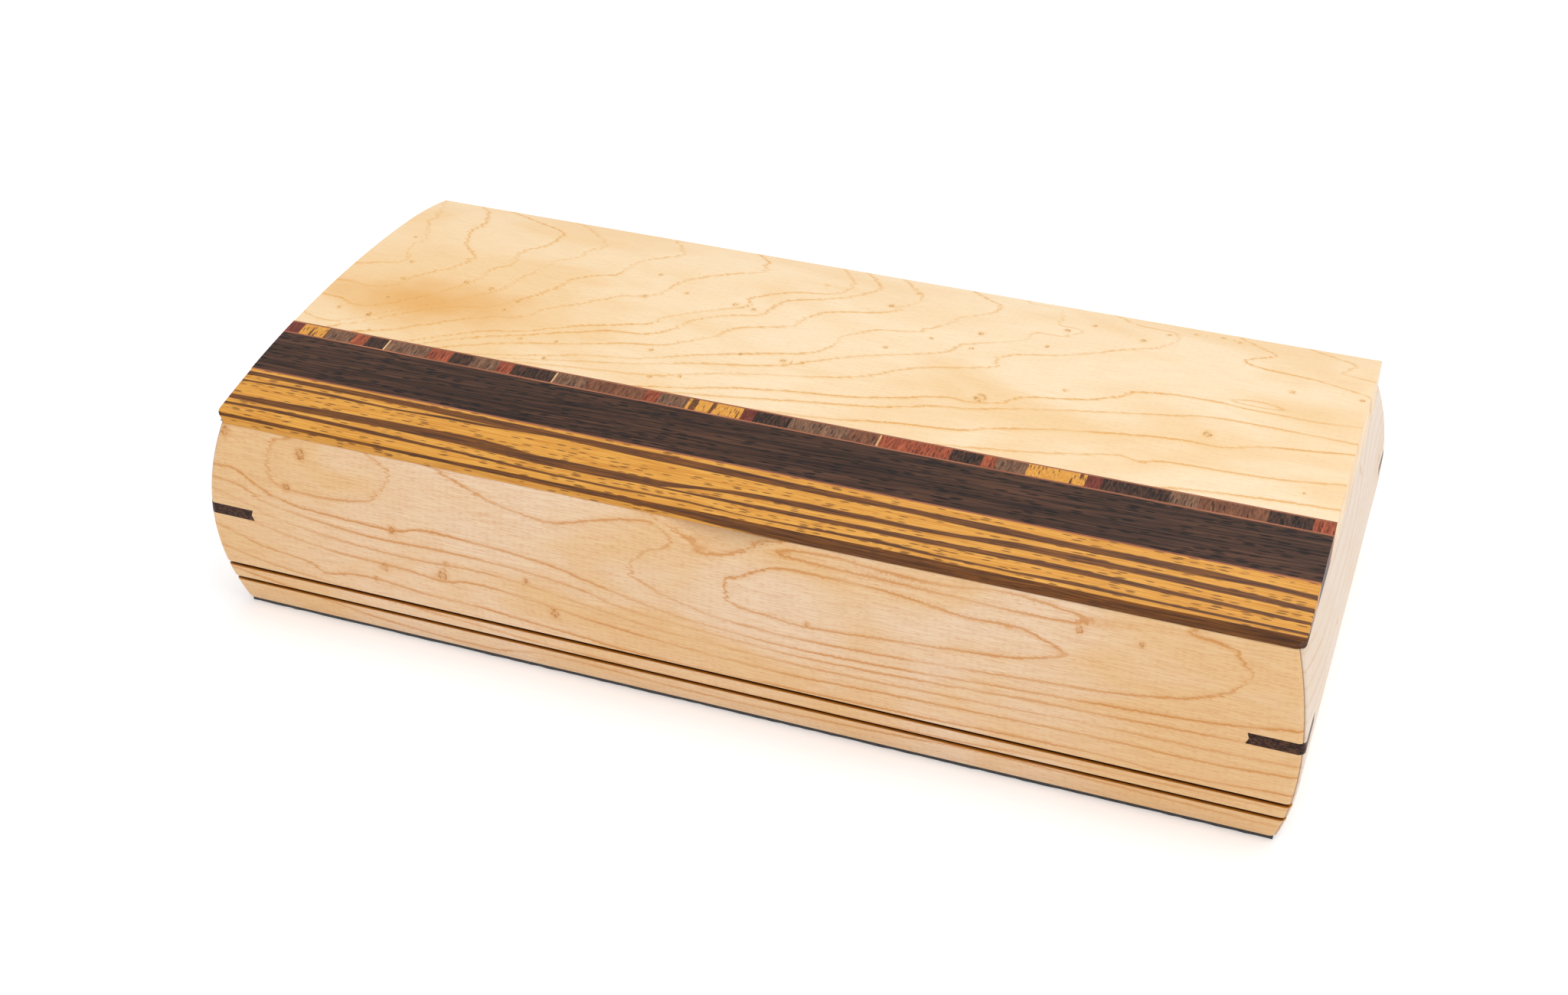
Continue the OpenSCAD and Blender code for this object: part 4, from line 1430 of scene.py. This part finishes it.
@dataclass
class Walls:
    """The four bulged and mitred walls with their saw lines, corner kerfs and finger scoop."""

    rim_len: float = 294.4
    rim_depth: float = 140.3
    wall_h: float = 57.2
    wall_stock: float = 27.0
    rim_z: float = 58.4
    bulge_r: float = 95.0
    bulge_drop: float = 31.1
    corner_r: float = 2.0
    seam: float = 0.12
    seam_depth: float = 1.2
    line_margin: float = 0.9
    touch: float = 0.02
    foot_r: float = 1.5
    rim_r: float = 0.8
    line_drop: float = 43.9
    line_pitch: float = 5.3
    line_w: float = 1.3
    line_depth: float = 2.4
    line_ease: float = 0.15
    spline_t: float = 3.2
    spline_drop: float = 25.1
    spline_leg: float = 14.2
    spline_ridge: float = 0.45
    scoop_w: float = 33.0
    scoop_h: float = 7.6
    scoop_slope: float = 55.0
    scoop_ease: float = 0.14
    bottom_t: float = 6.35
    rabbet_w: float = 8.0
    hinge_x: float = 92.0
    hinge_len: float = 38.0
    leaf_w: float = 12.0
    leaf_t: float = 1.5
    leaf_sink: float = 0.05
    barrel_d: float = 4.4
    knuckle_gap: float = 0.25
    pin_head_t: float = 0.8
    fit_gap: float = 0.1
    pin_y: float = 52.55
    corner_steps: int = 5
    walls: dict[Side, bpy.types.Object] = field(default_factory=dict)

    def outset(self, drop: float) -> float:
        """Outset of the bulged face from the rim line at a depth below the rim."""
        r2 = self.bulge_r**2
        return math.sqrt(r2 - (drop - self.bulge_drop) ** 2) - math.sqrt(r2 - self.bulge_drop**2)

    def rim_wall(self) -> float:
        """Thickness of a wall at the rim."""
        return self.wall_stock - self.outset(self.bulge_drop)

    def edge_round(self, edge_z: float, radius: float, side: int, steps: int = 5) -> list[Point]:
        """Points of the rounding between the bulged face and the rim or the foot.

        Args:
            edge_z: Height of the edge.
            radius: Radius of the rounding.
            side: 1 where the wood lies below the edge, -1 where it lies above.
            steps: Number of steps.

        Returns:
            Points from the flat edge to the face.
        """
        mid_y = self.bulge_r - self.outset(self.bulge_drop)
        cz = edge_z - side * radius
        cy = mid_y - math.sqrt((self.bulge_r - radius) ** 2 - (cz + self.bulge_drop) ** 2)
        start = math.pi / 2 * side
        toward = math.atan2(cz + self.bulge_drop, cy - mid_y)
        turn = (toward - start + math.pi) % (2 * math.pi) - math.pi
        angles = [start + turn * i / steps for i in range(steps + 1)]
        return [(cy + radius * math.cos(a), cz + radius * math.sin(a)) for a in angles]

    def section(self) -> list[Point]:
        """Section of a wall, from the inner rim round the outer face to the rabbet.

        Returns:
            Its corners, with y inwards from the rim line and z below the rim.
        """
        rim = self.edge_round(0, self.rim_r, 1)
        foot = self.edge_round(-self.wall_h, self.foot_r, -1)
        inner = self.rim_wall()
        points: list[Point] = [(inner, 0.0), (14, 0.0), (9, 0.0), (6, 0.0), (4.2, 0.0), (3, 0.0), (2, 0.0)]
        points += rim
        grooves = [self.line_drop, self.line_drop + self.line_pitch]
        level = rim[-1][1]
        for middle in grooves:
            top, low = -middle + self.line_w / 2, -middle - self.line_w / 2
            points += self.face_run(level, top + self.line_ease)
            depth = self.line_depth
            points.append((-self.outset(-top) + self.line_ease, top))
            points.append((-self.outset(-top) + depth, top))
            points.append((-self.outset(-top) + depth, low))
            points.append((-self.outset(-low) + self.line_ease, low))
            level = low - self.line_ease
            points.append((-self.outset(-level), level))
        points += self.face_run(level, foot[-1][1])
        points += foot[::-1][1:]
        points += [(3.0, -self.wall_h), (8.0, -self.wall_h)]
        points.append((inner - self.rabbet_w, -self.wall_h))
        points.append((inner - self.rabbet_w, -self.wall_h + self.bottom_t))
        points.append((inner, -self.wall_h + self.bottom_t))
        points += [(inner, z) for z in (-40.0, -25.0, -12.0, -4.0)]
        return points

    def face_run(self, start: float, end: float) -> list[Point]:
        """Points down the bulged face, about a millimetre apart, without the first.

        Args:
            start: Height at which the run begins.
            end: Height at which it ends.

        Returns:
            The points.
        """
        steps = max(2, round(abs(end - start) / 0.95))
        heights = [start + (end - start) * i / steps for i in range(1, steps + 1)]
        return [(-self.outset(-z), z) for z in heights]

    def mitre(self, piece: bpy.types.Object, length: float) -> None:
        """Mitres both ends and rounds the upright corners.

        Args:
            piece: The sawn board.
            length: Its length at the rim.
        """
        co = Bench.places(piece)
        half = length / 2
        columns = np.unique(np.round(co[:, 0], 4))
        pairs = len(columns) // 2
        angles = np.linspace(math.pi / 4, 0, self.corner_steps + 1)
        ends = [self.corner_r * (1 - math.sin(a)) for a in angles]
        pushed = [self.corner_r * (1 - math.cos(a)) for a in angles]
        step = (half - ends[-1]) / (pairs - self.corner_steps)
        from_end = ends + [ends[-1] + step * (i + 1) for i in range(pairs - self.corner_steps)]
        push = pushed + [0.0] * (len(from_end) - len(pushed))
        from_end[0] += self.seam
        push[0] += self.seam
        index = np.searchsorted(columns, co[:, 0] - 1e-3)
        side = np.where(index < len(columns) / 2, -1.0, 1.0)
        index = np.minimum(index, len(columns) - 1 - index)
        run = np.array(from_end)[index]
        pushed_in = np.array(push)[index]
        face = np.array([-self.outset(-z) if -self.wall_h <= z <= 0 else 0.0 for z in co[:, 2]])
        depth = np.clip((co[:, 1] - face) / 6.0, 0, 1)
        near = (1 - depth) ** 2
        first = from_end[0]
        reach = np.clip((70 - run) / 60, 0, 1)
        reach = reach * reach * (3 - 2 * reach)
        y = co[:, 1] + near * pushed_in
        out = half - co[:, 1] * reach - (run - first * (1 - near) * reach)
        co[:, 0] = side * out
        co[:, 1] = y
        Bench.put(piece, co)

    def kerf_cutter(self, length: float, end: int) -> bpy.types.Object:
        """Shape of the saw kerf for a spline across one end of a wall.

        Args:
            length: Length of the wall at the rim.
            end: 1 for the right end and -1 for the left.

        Returns:
            The cutter.
        """
        half_t = self.spline_t / 2
        leg = self.spline_leg
        section = [(0, -half_t), (self.spline_ridge, 0), (0, half_t), (leg, half_t), (leg, -half_t)]
        bpy.ops.object.select_all(action="DESELECT")
        bpy.ops.mesh.primitive_circle_add(vertices=len(section), radius=1.0, fill_type="NGON")
        cutter = bpy.context.object
        for vertex, (x, z) in zip(cutter.data.vertices, section):
            vertex.co = (x, -leg, z)
        Bench.edit(cutter)
        bpy.ops.mesh.select_all(action="SELECT")
        bpy.ops.mesh.extrude_region_move(TRANSFORM_OT_translate={"value": (0, 2 * leg, 0)})
        bpy.ops.mesh.select_all(action="SELECT")
        bpy.ops.mesh.normals_make_consistent(inside=False)
        Bench.leave()
        p = self.outset(self.spline_drop)
        place = (
            Matrix.Translation((length / 2 + p, -p, -self.spline_drop))
            @ Matrix.Rotation(math.radians(-45), 4, "Z")
            @ Matrix.Translation((-leg / math.sqrt(2), 0, 0))
        )
        if end < 0:
            place = Matrix.Diagonal((-1, 1, 1, 1)) @ place
        cutter.data.transform(place)
        if end < 0:
            cutter.data.flip_normals()
        return cutter

    def scoop(self, piece: bpy.types.Object) -> None:
        """Sands the finger scoop into the upper front edge with a drum.

        Args:
            piece: The front wall, still lying in its own frame.
        """
        low = self.outset(self.scoop_h)
        slope = math.radians(self.scoop_slope)
        sag = self.scoop_h * math.cos(slope) - low * math.sin(slope)
        drum_r = ((self.scoop_w / 2) ** 2 + sag**2) / (2 * sag)
        co = Bench.places(piece)
        axis = np.array([0, math.cos(slope), math.sin(slope)])
        start = np.array([0, -low, -self.scoop_h]) + drum_r * np.array([0, -math.sin(slope), math.cos(slope)])
        from_start = co - start
        across = from_start - np.outer(from_start @ axis, axis)
        away = np.linalg.norm(across, axis=1)
        inside = drum_r - away
        push = 0.5 * (inside + np.sqrt(inside**2 + 4 * self.scoop_ease**2))
        push[inside < -2.5] = 0
        reach = np.clip((-co[:, 2] < 20) * 1.0, 0, 1) * (co[:, 1] < 12)
        co += (across / away[:, None]) * (push * reach)[:, None]
        Bench.put(piece, co)

    def recess(self, piece: bpy.types.Object) -> None:
        """Lets the hinges into the ledge of the back wall.

        Args:
            piece: The back wall, in its own frame.
        """
        line = self.rim_depth / 2 - self.pin_y
        barrel = self.barrel_d / 2 + self.knuckle_gap
        for side in (-1, 1):
            x = side * self.hinge_x
            half = self.hinge_len / 2 + self.fit_gap
            low = (x - half, line - self.leaf_w - self.fit_gap, -self.leaf_t - self.leaf_sink)
            Bench.cut(piece, Bench.block(low, (x + half, line, 2.0)))
            length = self.hinge_len + 2 * (self.pin_head_t + self.knuckle_gap)
            Bench.cut(piece, Bench.drill(barrel, length, (x, line, 0), "X"))

    def build(self) -> dict[Side, bpy.types.Object]:
        """Builds, marks and seats all four walls.

        Returns:
            The walls.
        """
        moves = {
            Side.FRONT: (0, -self.rim_depth / 2, self.rim_z),
            Side.BACK: (0, self.rim_depth / 2, self.rim_z),
            Side.LEFT: (-self.rim_len / 2, 0, self.rim_z),
            Side.RIGHT: (self.rim_len / 2, 0, self.rim_z),
        }
        names = {
            Side.FRONT: "front_panel",
            Side.BACK: "back_panel",
            Side.LEFT: "left_end_panel",
            Side.RIGHT: "right_end_panel",
        }
        for side, move in moves.items():
            long_wall = side in (Side.FRONT, Side.BACK)
            length = self.rim_len if long_wall else self.rim_depth
            cuts = (1, 99, 0) if long_wall else (1, 59, 0)
            piece = Bench.saw("Board_" + names[side], self.section(), length, [c for c in cuts if c])
            self.mitre(piece, length)
            if side is Side.FRONT:
                self.scoop(piece)
            if side is Side.BACK:
                self.recess(piece)
            for end in (-1, 1):
                Bench.cut(piece, self.kerf_cutter(length, end))
            self.figure(piece, side)
            Bench.seat(piece, side.value, move)
            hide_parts(names[side])
            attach(piece, "carcass")
            self.walls[side] = piece
            log.info("%s: %d corners", piece.name, len(piece.data.vertices))
        return self.walls

    def figure(self, piece: bpy.types.Object, side: Side) -> None:
        """Marks growth lines and eyes on a wall.

        Args:
            piece: The wall, in its own frame.
            side: Which wall it is.
        """
        co = Bench.places(piece)
        flat = co[:, [0, 2]]
        if side is Side.FRONT:
            rings = FRONT_LINES.rings(flat)
            drift = FRONT_LINES.drift(flat)
            offset, near = FRONT_EYES.offsets(flat)
        else:
            rings = self.plain_rings(flat, side)
            half_step = 0.4
            move = np.array([half_step, 0.0])
            rise = self.plain_rings(flat + move, side) - self.plain_rings(flat - move, side)
            drift = rise / (2 * half_step)
            offset, near = self.plain_eyes(side).offsets(flat)
        Bench.mark(piece, "rings", rings)
        Bench.mark(piece, "drift", drift)
        Bench.mark(piece, "eye", offset)
        Bench.mark(piece, "eye_near", near)
        depth = co[:, 1] + np.array([self.outset(-z) if -self.wall_h <= z <= 0 else 0.0 for z in co[:, 2]])
        # Depth into the saw lines, which the maple finish turns into a painted glow at the mouth and painted
        # shade deeper in.
        in_line = np.zeros(len(co), bool)
        for middle in (self.line_drop, self.line_drop + self.line_pitch):
            in_line |= np.abs(co[:, 2] + middle) < self.line_w / 2 + self.touch
        in_line &= depth < self.line_depth + self.line_margin
        Bench.mark(piece, "kerf", np.clip(depth / self.line_depth, 0, 1) * in_line)
        half = (self.rim_len if side in (Side.FRONT, Side.BACK) else self.rim_depth) / 2
        on_mitre = np.abs(np.abs(co[:, 0]) - (half - co[:, 1])) < self.touch
        Bench.mark(piece, "seam", (on_mitre & (depth < self.seam_depth)).astype(float))

    def plain_rings(self, flat: np.ndarray, side: Side) -> np.ndarray:
        """Growth lines for a wall that the photograph doesn't show.

        Args:
            flat: Places on its face.
            side: Which wall it is.

        Returns:
            The ring count at each.
        """
        x, z = flat[:, 0], flat[:, 1]
        turn = {Side.BACK: 1.3, Side.LEFT: 0.4, Side.RIGHT: 2.2, Side.FRONT: 0.0}[side]
        arch = 9 * np.exp(-(((x - 30 * math.cos(turn)) / 60) ** 2))
        sway = 2.2 * np.sin(x / 27 + turn) + 0.9 * np.sin(x / 11 + 3 * turn)
        return (z + arch + sway) / 4.4 + 20

    def plain_eyes(self, side: Side) -> BirdsEyes:
        """A few scattered eyes for a wall that the photograph doesn't show."""
        luck = np.random.default_rng(int(side.value) + 400)
        half = (self.rim_len if side is Side.BACK else self.rim_depth) / 2 - 6
        count = 9 if side is Side.BACK else 4
        xs = np.linspace(-half, half, count) + luck.uniform(-7, 7, count)
        eyes = []
        for x in xs:
            height = luck.uniform(-40, -4)
            eyes.append((float(x), float(height), float(luck.uniform(0.7, 1.5))))
        return BirdsEyes(tuple(eyes))

    def dress(self) -> None:
        """Gives each wall its finish."""
        finishes = {
            Side.FRONT: FRONT_MAPLE,
            Side.BACK: BACK_MAPLE,
            Side.LEFT: END_MAPLE_PAINTED_GLARE,
            Side.RIGHT: END_MAPLE_PAINTED_GLARE,
        }
        for side, piece in self.walls.items():
            finishes[side].dress(piece)


@dataclass
class Lid:
    """The crowned lid: maple board, striped lip and the bands between them."""

    length: float = 296.0
    depth: float = 122.5
    front: float = -70.15
    rim_z: float = 58.4
    crown_h: float = 17.7
    crown_y: float = 100.0
    crown_front_r: float = 340.0
    crown_back_r: float = 130.0
    lip_r: float = 2.0
    corner_r: float = 2.2
    back_r: float = 1.2
    end_ease: float = 0.35
    lip_w: float = 17.6
    board_y: float = 39.0
    hinge_x: float = 92.0
    hinge_len: float = 38.0
    leaf_w: float = 12.0
    leaf_t: float = 1.5
    leaf_sink: float = 0.05
    pivot_gap: float = 0.2
    barrel_d: float = 4.4
    knuckle_gap: float = 0.25
    pin_head_t: float = 0.8
    fit_gap: float = 0.1
    pieces: dict[str, bpy.types.Object] = field(default_factory=dict)

    def crown(self, y: float) -> float:
        """Height of the crowned top above the rim, at a distance from the lid's front."""
        r = self.crown_front_r if y < self.crown_y else self.crown_back_r
        return self.crown_h - r + math.sqrt(r * r - (y - self.crown_y) ** 2)

    def edge_round(
        self, edge: float, radius: float, crown_r: float, side: int, steps: int = 6
    ) -> list[Point]:
        """Points of the rounding between the crown and the lid's front or back.

        Args:
            edge: Distance of the edge from the lid's front.
            radius: Radius of the rounding.
            crown_r: Radius of the crown there.
            side: 1 at the back and -1 at the front.
            steps: Number of steps.

        Returns:
            Points from the upright edge up to the crown.
        """
        cy = edge - side * radius
        mid_z = self.crown_h - crown_r
        cz = mid_z + math.sqrt((crown_r - radius) ** 2 - (cy - self.crown_y) ** 2)
        start = 0.0 if side > 0 else math.pi
        toward = math.atan2(cz - mid_z, cy - self.crown_y)
        angles = [start + (toward - start) * i / steps for i in range(steps + 1)]
        return [(cy + radius * math.cos(a), cz + radius * math.sin(a)) for a in angles]

    def board_section(self) -> list[Point]:
        """Section of the main board, from its lower front corner over the crown to the back.

        Returns:
            Its corners, with y from the lid's front and z above the rim.
        """
        back = self.edge_round(self.depth, self.back_r, self.crown_back_r, 1)
        end = back[-1][0]
        steps = round((end - self.board_y) / 1.05)
        top = [self.board_y + (end - self.board_y) * i / steps for i in range(steps)]
        points: list[Point] = [(self.board_y, 0.0), (self.board_y, self.crown(self.board_y) / 2)]
        points += [(y, self.crown(y)) for y in top]
        points += back[::-1]
        points += [(self.depth, z) for z in (12.0, 9.0, 5.0, 2.0)]
        points += [(self.depth, 0.0), (95.0, 0.0), (67.0, 0.0)]
        return points

    def lip_section(self) -> list[Point]:
        """Section of the lip, round its front edge and up to the first thin line.

        Returns:
            Its corners, with y from the lid's front and z above the rim.
        """
        nose = self.edge_round(0.0, self.lip_r, self.crown_front_r, -1, steps=8)
        start = nose[-1][0]
        steps = round((self.lip_w - start) / 0.33)
        top = [start + (self.lip_w - start) * i / steps for i in range(1, steps + 1)]
        points: list[Point] = [(0.0, 0.0)]
        low = nose[0][1]
        points += [(0.0, low * part) for part in (0.33, 0.66)]
        points += nose
        points += [(y, self.crown(y)) for y in top]
        points += [(self.lip_w, 0.0), (9.0, 0.0), (4.5, 0.0), (2.2, 0.0), (1.0, 0.0)]
        return points

    def trim_ends(self, piece: bpy.types.Object, round_corners: bool) -> None:
        """Eases the upper edges of both ends, and rounds the upright corners of the lip.

        Args:
            piece: The sawn board.
            round_corners: Whether the front corners are rounded in plan.
        """
        co = Bench.places(piece)
        columns = np.unique(np.round(co[:, 0], 4))
        half = self.length / 2
        angles = np.linspace(math.pi / 2, 0, 5)
        ends = [self.end_ease * (1 - math.sin(a)) for a in angles]
        drops = [self.end_ease * (1 - math.cos(a)) for a in angles]
        if round_corners:
            ends += [0.8, 1.4, 2.2, 3.2]
            drops += [0.0] * 4
        pairs = len(columns) // 2
        left = pairs - len(ends) + 1
        step = (half - ends[-1]) / left
        from_end = np.array(ends + [ends[-1] + step * (i + 1) for i in range(left)])
        drop = np.array(drops + [0.0] * left)
        index = np.searchsorted(columns, co[:, 0] - 1e-3)
        side = np.where(index < len(columns) / 2, -1.0, 1.0)
        index = np.minimum(index, len(columns) - 1 - index)
        x = half - from_end[index]
        top = np.array([self.crown(y) for y in co[:, 1]])
        high = np.clip(1 - (top - co[:, 2]) / 2.5, 0, 1) * (co[:, 2] > 0.01)
        co[:, 2] -= drop[index] * high
        if round_corners:
            r = self.corner_r
            into = np.clip(r - co[:, 1], 0, r)
            pull = r - np.sqrt(np.maximum(r * r - into * into, 0))
            fall = np.clip(1 - from_end[index] / 9.0, 0, 1)
            x = x - pull * fall
        co[:, 0] = side * x
        Bench.put(piece, co)

    def build_board(self) -> bpy.types.Object:
        """Builds the main board with its hinge recesses and figure.

        Returns:
            The board.
        """
        piece = Bench.saw("Board_lid", self.board_section(), self.length, [1, 99])
        self.trim_ends(piece, False)
        line = self.depth + self.pivot_gap
        barrel = self.barrel_d / 2 + self.knuckle_gap
        for side in (-1, 1):
            x = side * self.hinge_x
            half = self.hinge_len / 2 + self.fit_gap
            low = (x - half, line - self.pivot_gap - self.leaf_sink - self.leaf_t, -1.0)
            Bench.cut(piece, Bench.block(low, (x + half, line + 2, self.leaf_w + self.fit_gap)))
            length = self.hinge_len + 2 * (self.pin_head_t + self.knuckle_gap)
            Bench.cut(piece, Bench.drill(barrel, length, (x, line, 0), "X"))
        co = Bench.places(piece)
        flat = co[:, :2]
        offset, near = LID_EYES.offsets(flat)
        Bench.mark(piece, "rings", LID_LINES.rings(flat))
        Bench.mark(piece, "drift", LID_LINES.drift(flat))
        Bench.mark(piece, "eye", offset)
        Bench.mark(piece, "eye_near", near)
        self.seat(piece, "lid_board", "maple_lid")
        return piece

    def build_lip(self) -> bpy.types.Object:
        """Builds the striped lip.

        Returns:
            The lip.
        """
        section = self.lip_section()
        piece = Bench.saw("Board_lip", section, self.length, [1, 74])
        self.trim_ends(piece, True)
        co = Bench.places(piece)
        fall = np.clip(self.crown(self.lip_r) - co[:, 2], 0, 3)
        across = np.where(co[:, 1] < self.lip_r, co[:, 1] - fall, co[:, 1])
        flat = np.column_stack([co[:, 0], across])
        cover = np.zeros(len(co))
        for stripe in LIP_STRIPES:
            cover = np.maximum(cover, stripe.cover(flat, 0.3))
        Bench.mark(piece, "stripe", cover)
        self.seat(piece, "lip_board", "zebrano")
        return piece

    def seat(self, piece: bpy.types.Object, node: str, slot: str) -> None:
        """Seats a board of the lid in place of its solid.

        Args:
            piece: The board.
            node: The solid that it replaces.
            slot: Not used.
        """
        Bench.seat(piece, 0.0, (0, self.front, self.rim_z))
        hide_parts(node)
        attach(piece, "lid")
        self.pieces[node] = piece
        log.info("%s: %d corners", piece.name, len(piece.data.vertices))

    def build(self) -> None:
        """Builds the boards that are made anew."""
        self.build_board()
        self.build_lip()

    def dress(self, nodes: dict[str, bpy.types.Object]) -> None:
        """Gives the boards, bands and blocks their finishes.

        Args:
            nodes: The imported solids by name.
        """
        LID_MAPLE.dress(self.pieces["lid_board"])
        LIP_ZEBRANO.dress(self.pieces["lip_board"])
        finishes = {
            "dark_band": BAND_WENGE,
            "stringing_front": STRINGING,
            "stringing_middle": STRINGING,
            "stringing_back": STRINGING,
            "blocks_rosewood": BLOCK_ROSEWOOD,
            "blocks_zebrano": BLOCK_ZEBRANO,
            "blocks_grey": BLOCK_GREY,
            "blocks_padauk": BLOCK_PADAUK,
            "blocks_wenge": BLOCK_WENGE,
            "blocks_maple": BLOCK_MAPLE,
            "blocks_walnut": BLOCK_WALNUT,
        }
        for name, finish in finishes.items():
            finish.dress(nodes[name])
            log.info("%s: %s", name, finish.name)


@dataclass
class Inside:
    """Splines, bottom board, knife rests and their screws, kept as packed and dressed here."""

    def dress(self, nodes: dict[str, bpy.types.Object]) -> None:
        """Gives each solid its finish.

        Args:
            nodes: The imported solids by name.
        """
        finishes: dict[str, Finish] = {
            "bottom_panel": BOTTOM_BIRCH,
            "blade_rest": REST_MAPLE,
            "handle_rest": REST_MAPLE,
            "rest_screws": SCREW_BRASS,
        }
        for name in nodes:
            if name.startswith("spline_"):
                finishes[name] = SPLINE_WENGE
        for name, finish in finishes.items():
            finish.dress(nodes[name])
            log.info("%s: %s", name, finish.name)


@dataclass
class Hinges:
    """The two brass butt hinges with their pins and screws."""

    def dress(self, nodes: dict[str, bpy.types.Object]) -> None:
        """Gives leaves, pins and screws their brass.

        Args:
            nodes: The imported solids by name.
        """
        for name, piece in nodes.items():
            if name.startswith("hinge_"):
                finish = SCREW_BRASS if name.endswith("screws") else HINGE_BRASS
                finish.dress(piece)
                log.info("%s: %s", name, finish.name)


@dataclass
class Felts:
    """Felt under the box and on its floor inside."""

    base_len: float = 296.2
    base_depth: float = 142.1
    base_t: float = 1.2
    floor_z: float = 7.55
    floor_t: float = 1.0
    inner_len: float = 250.86
    inner_depth: float = 96.76
    blade_rest_x: float = 72.0
    handle_rest_x: float = 62.0
    rest_t: float = 12.0
    fit_gap: float = 0.1

    def sheet(self, name: str, low: Point, high: Point, z: float, thick: float) -> bpy.types.Object:
        """Cuts a sheet of felt with slightly uneven, rounded edges.

        Args:
            name: Its name.
            low: Its lowest corner in plan.
            high: Its highest corner in plan.
            z: Height of its underside.
            thick: Its thickness.

        Returns:
            The sheet.
        """
        width, depth = high[0] - low[0], high[1] - low[1]
        bpy.ops.object.select_all(action="DESELECT")
        bpy.ops.mesh.primitive_grid_add(
            x_subdivisions=max(8, round(width / 2.4)), y_subdivisions=max(8, round(depth / 2.4)), size=1.0
        )
        piece = bpy.context.object
        piece.name = piece.data.name = name
        co = Bench.places(piece)
        luck = np.random.default_rng(7)
        x = (co[:, 0] + 0.5) * width
        y = (co[:, 1] + 0.5) * depth
        edge = np.minimum(np.minimum(x, width - x), np.minimum(y, depth - y))
        on_edge = edge < 1e-3
        fray = luck.uniform(0.0, 0.25, len(co)) * on_edge
        x += np.where(x < width / 2, 1, -1) * fray * ((x < 1e-3) | (x > width - 1e-3))
        y += np.where(y < depth / 2, 1, -1) * fray * ((y < 1e-3) | (y > depth - 1e-3))
        nap = luck.uniform(-0.04, 0.04, len(co))
        co = np.column_stack([low[0] + x, low[1] + y, z + thick - 0.08 + nap - 0.06 * on_edge])
        Bench.put(piece, co * MM)
        bpy.context.view_layer.objects.active = piece
        solid = piece.modifiers.new("Thickness", "SOLIDIFY")
        solid.thickness = (thick - 0.18) * MM
        solid.offset = -1
        bpy.ops.object.modifier_apply(modifier=solid.name)
        bpy.ops.object.select_all(action="DESELECT")
        piece.select_set(True)
        bpy.ops.object.shade_smooth_by_angle(angle=math.radians(50))
        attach(piece, "carcass")
        return piece

    def build(self) -> None:
        """Lays the base felt and the three pieces on the floor inside."""
        # The base felt runs out under the rounded feet of the walls: it is the box's own felt, and along the
        # sides its black edge also stands in for the shade line under the box, which is painted shade.
        half = (self.base_len / 2, self.base_depth / 2)
        base = self.sheet("Felt_base", (-half[0], -half[1]), half, 0.0, self.base_t)
        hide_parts("base_felt")
        BASE_FELT.dress(base)
        half_t = self.rest_t / 2
        edges = (
            (-self.inner_len / 2, -self.blade_rest_x - half_t),
            (-self.blade_rest_x + half_t, self.handle_rest_x - half_t),
            (self.handle_rest_x + half_t, self.inner_len / 2),
        )
        depth = self.inner_depth / 2 - self.fit_gap
        for name, (start, end) in zip(("left", "middle", "right"), edges):
            low = (start + self.fit_gap, -depth)
            high = (end - self.fit_gap, depth)
            piece = self.sheet(f"Felt_floor_{name}", low, high, self.floor_z, self.floor_t)
            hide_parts("floor_lining")
            FLOOR_FELT.dress(piece)


def main() -> None:
    """Builds the scene in order: camera, studio, carcass, lid, hinges and felts."""
    logging.basicConfig(level=logging.INFO, format="%(name)s: %(message)s")
    nodes = frame["nodes"]
    Camera().build()
    Studio().build()
    walls = Walls()
    walls.build()
    walls.dress()
    lid = Lid()
    lid.build()
    lid.dress(nodes)
    Inside().dress(nodes)
    Hinges().dress(nodes)
    Felts().build()


if __name__ == "__main__":
    main()
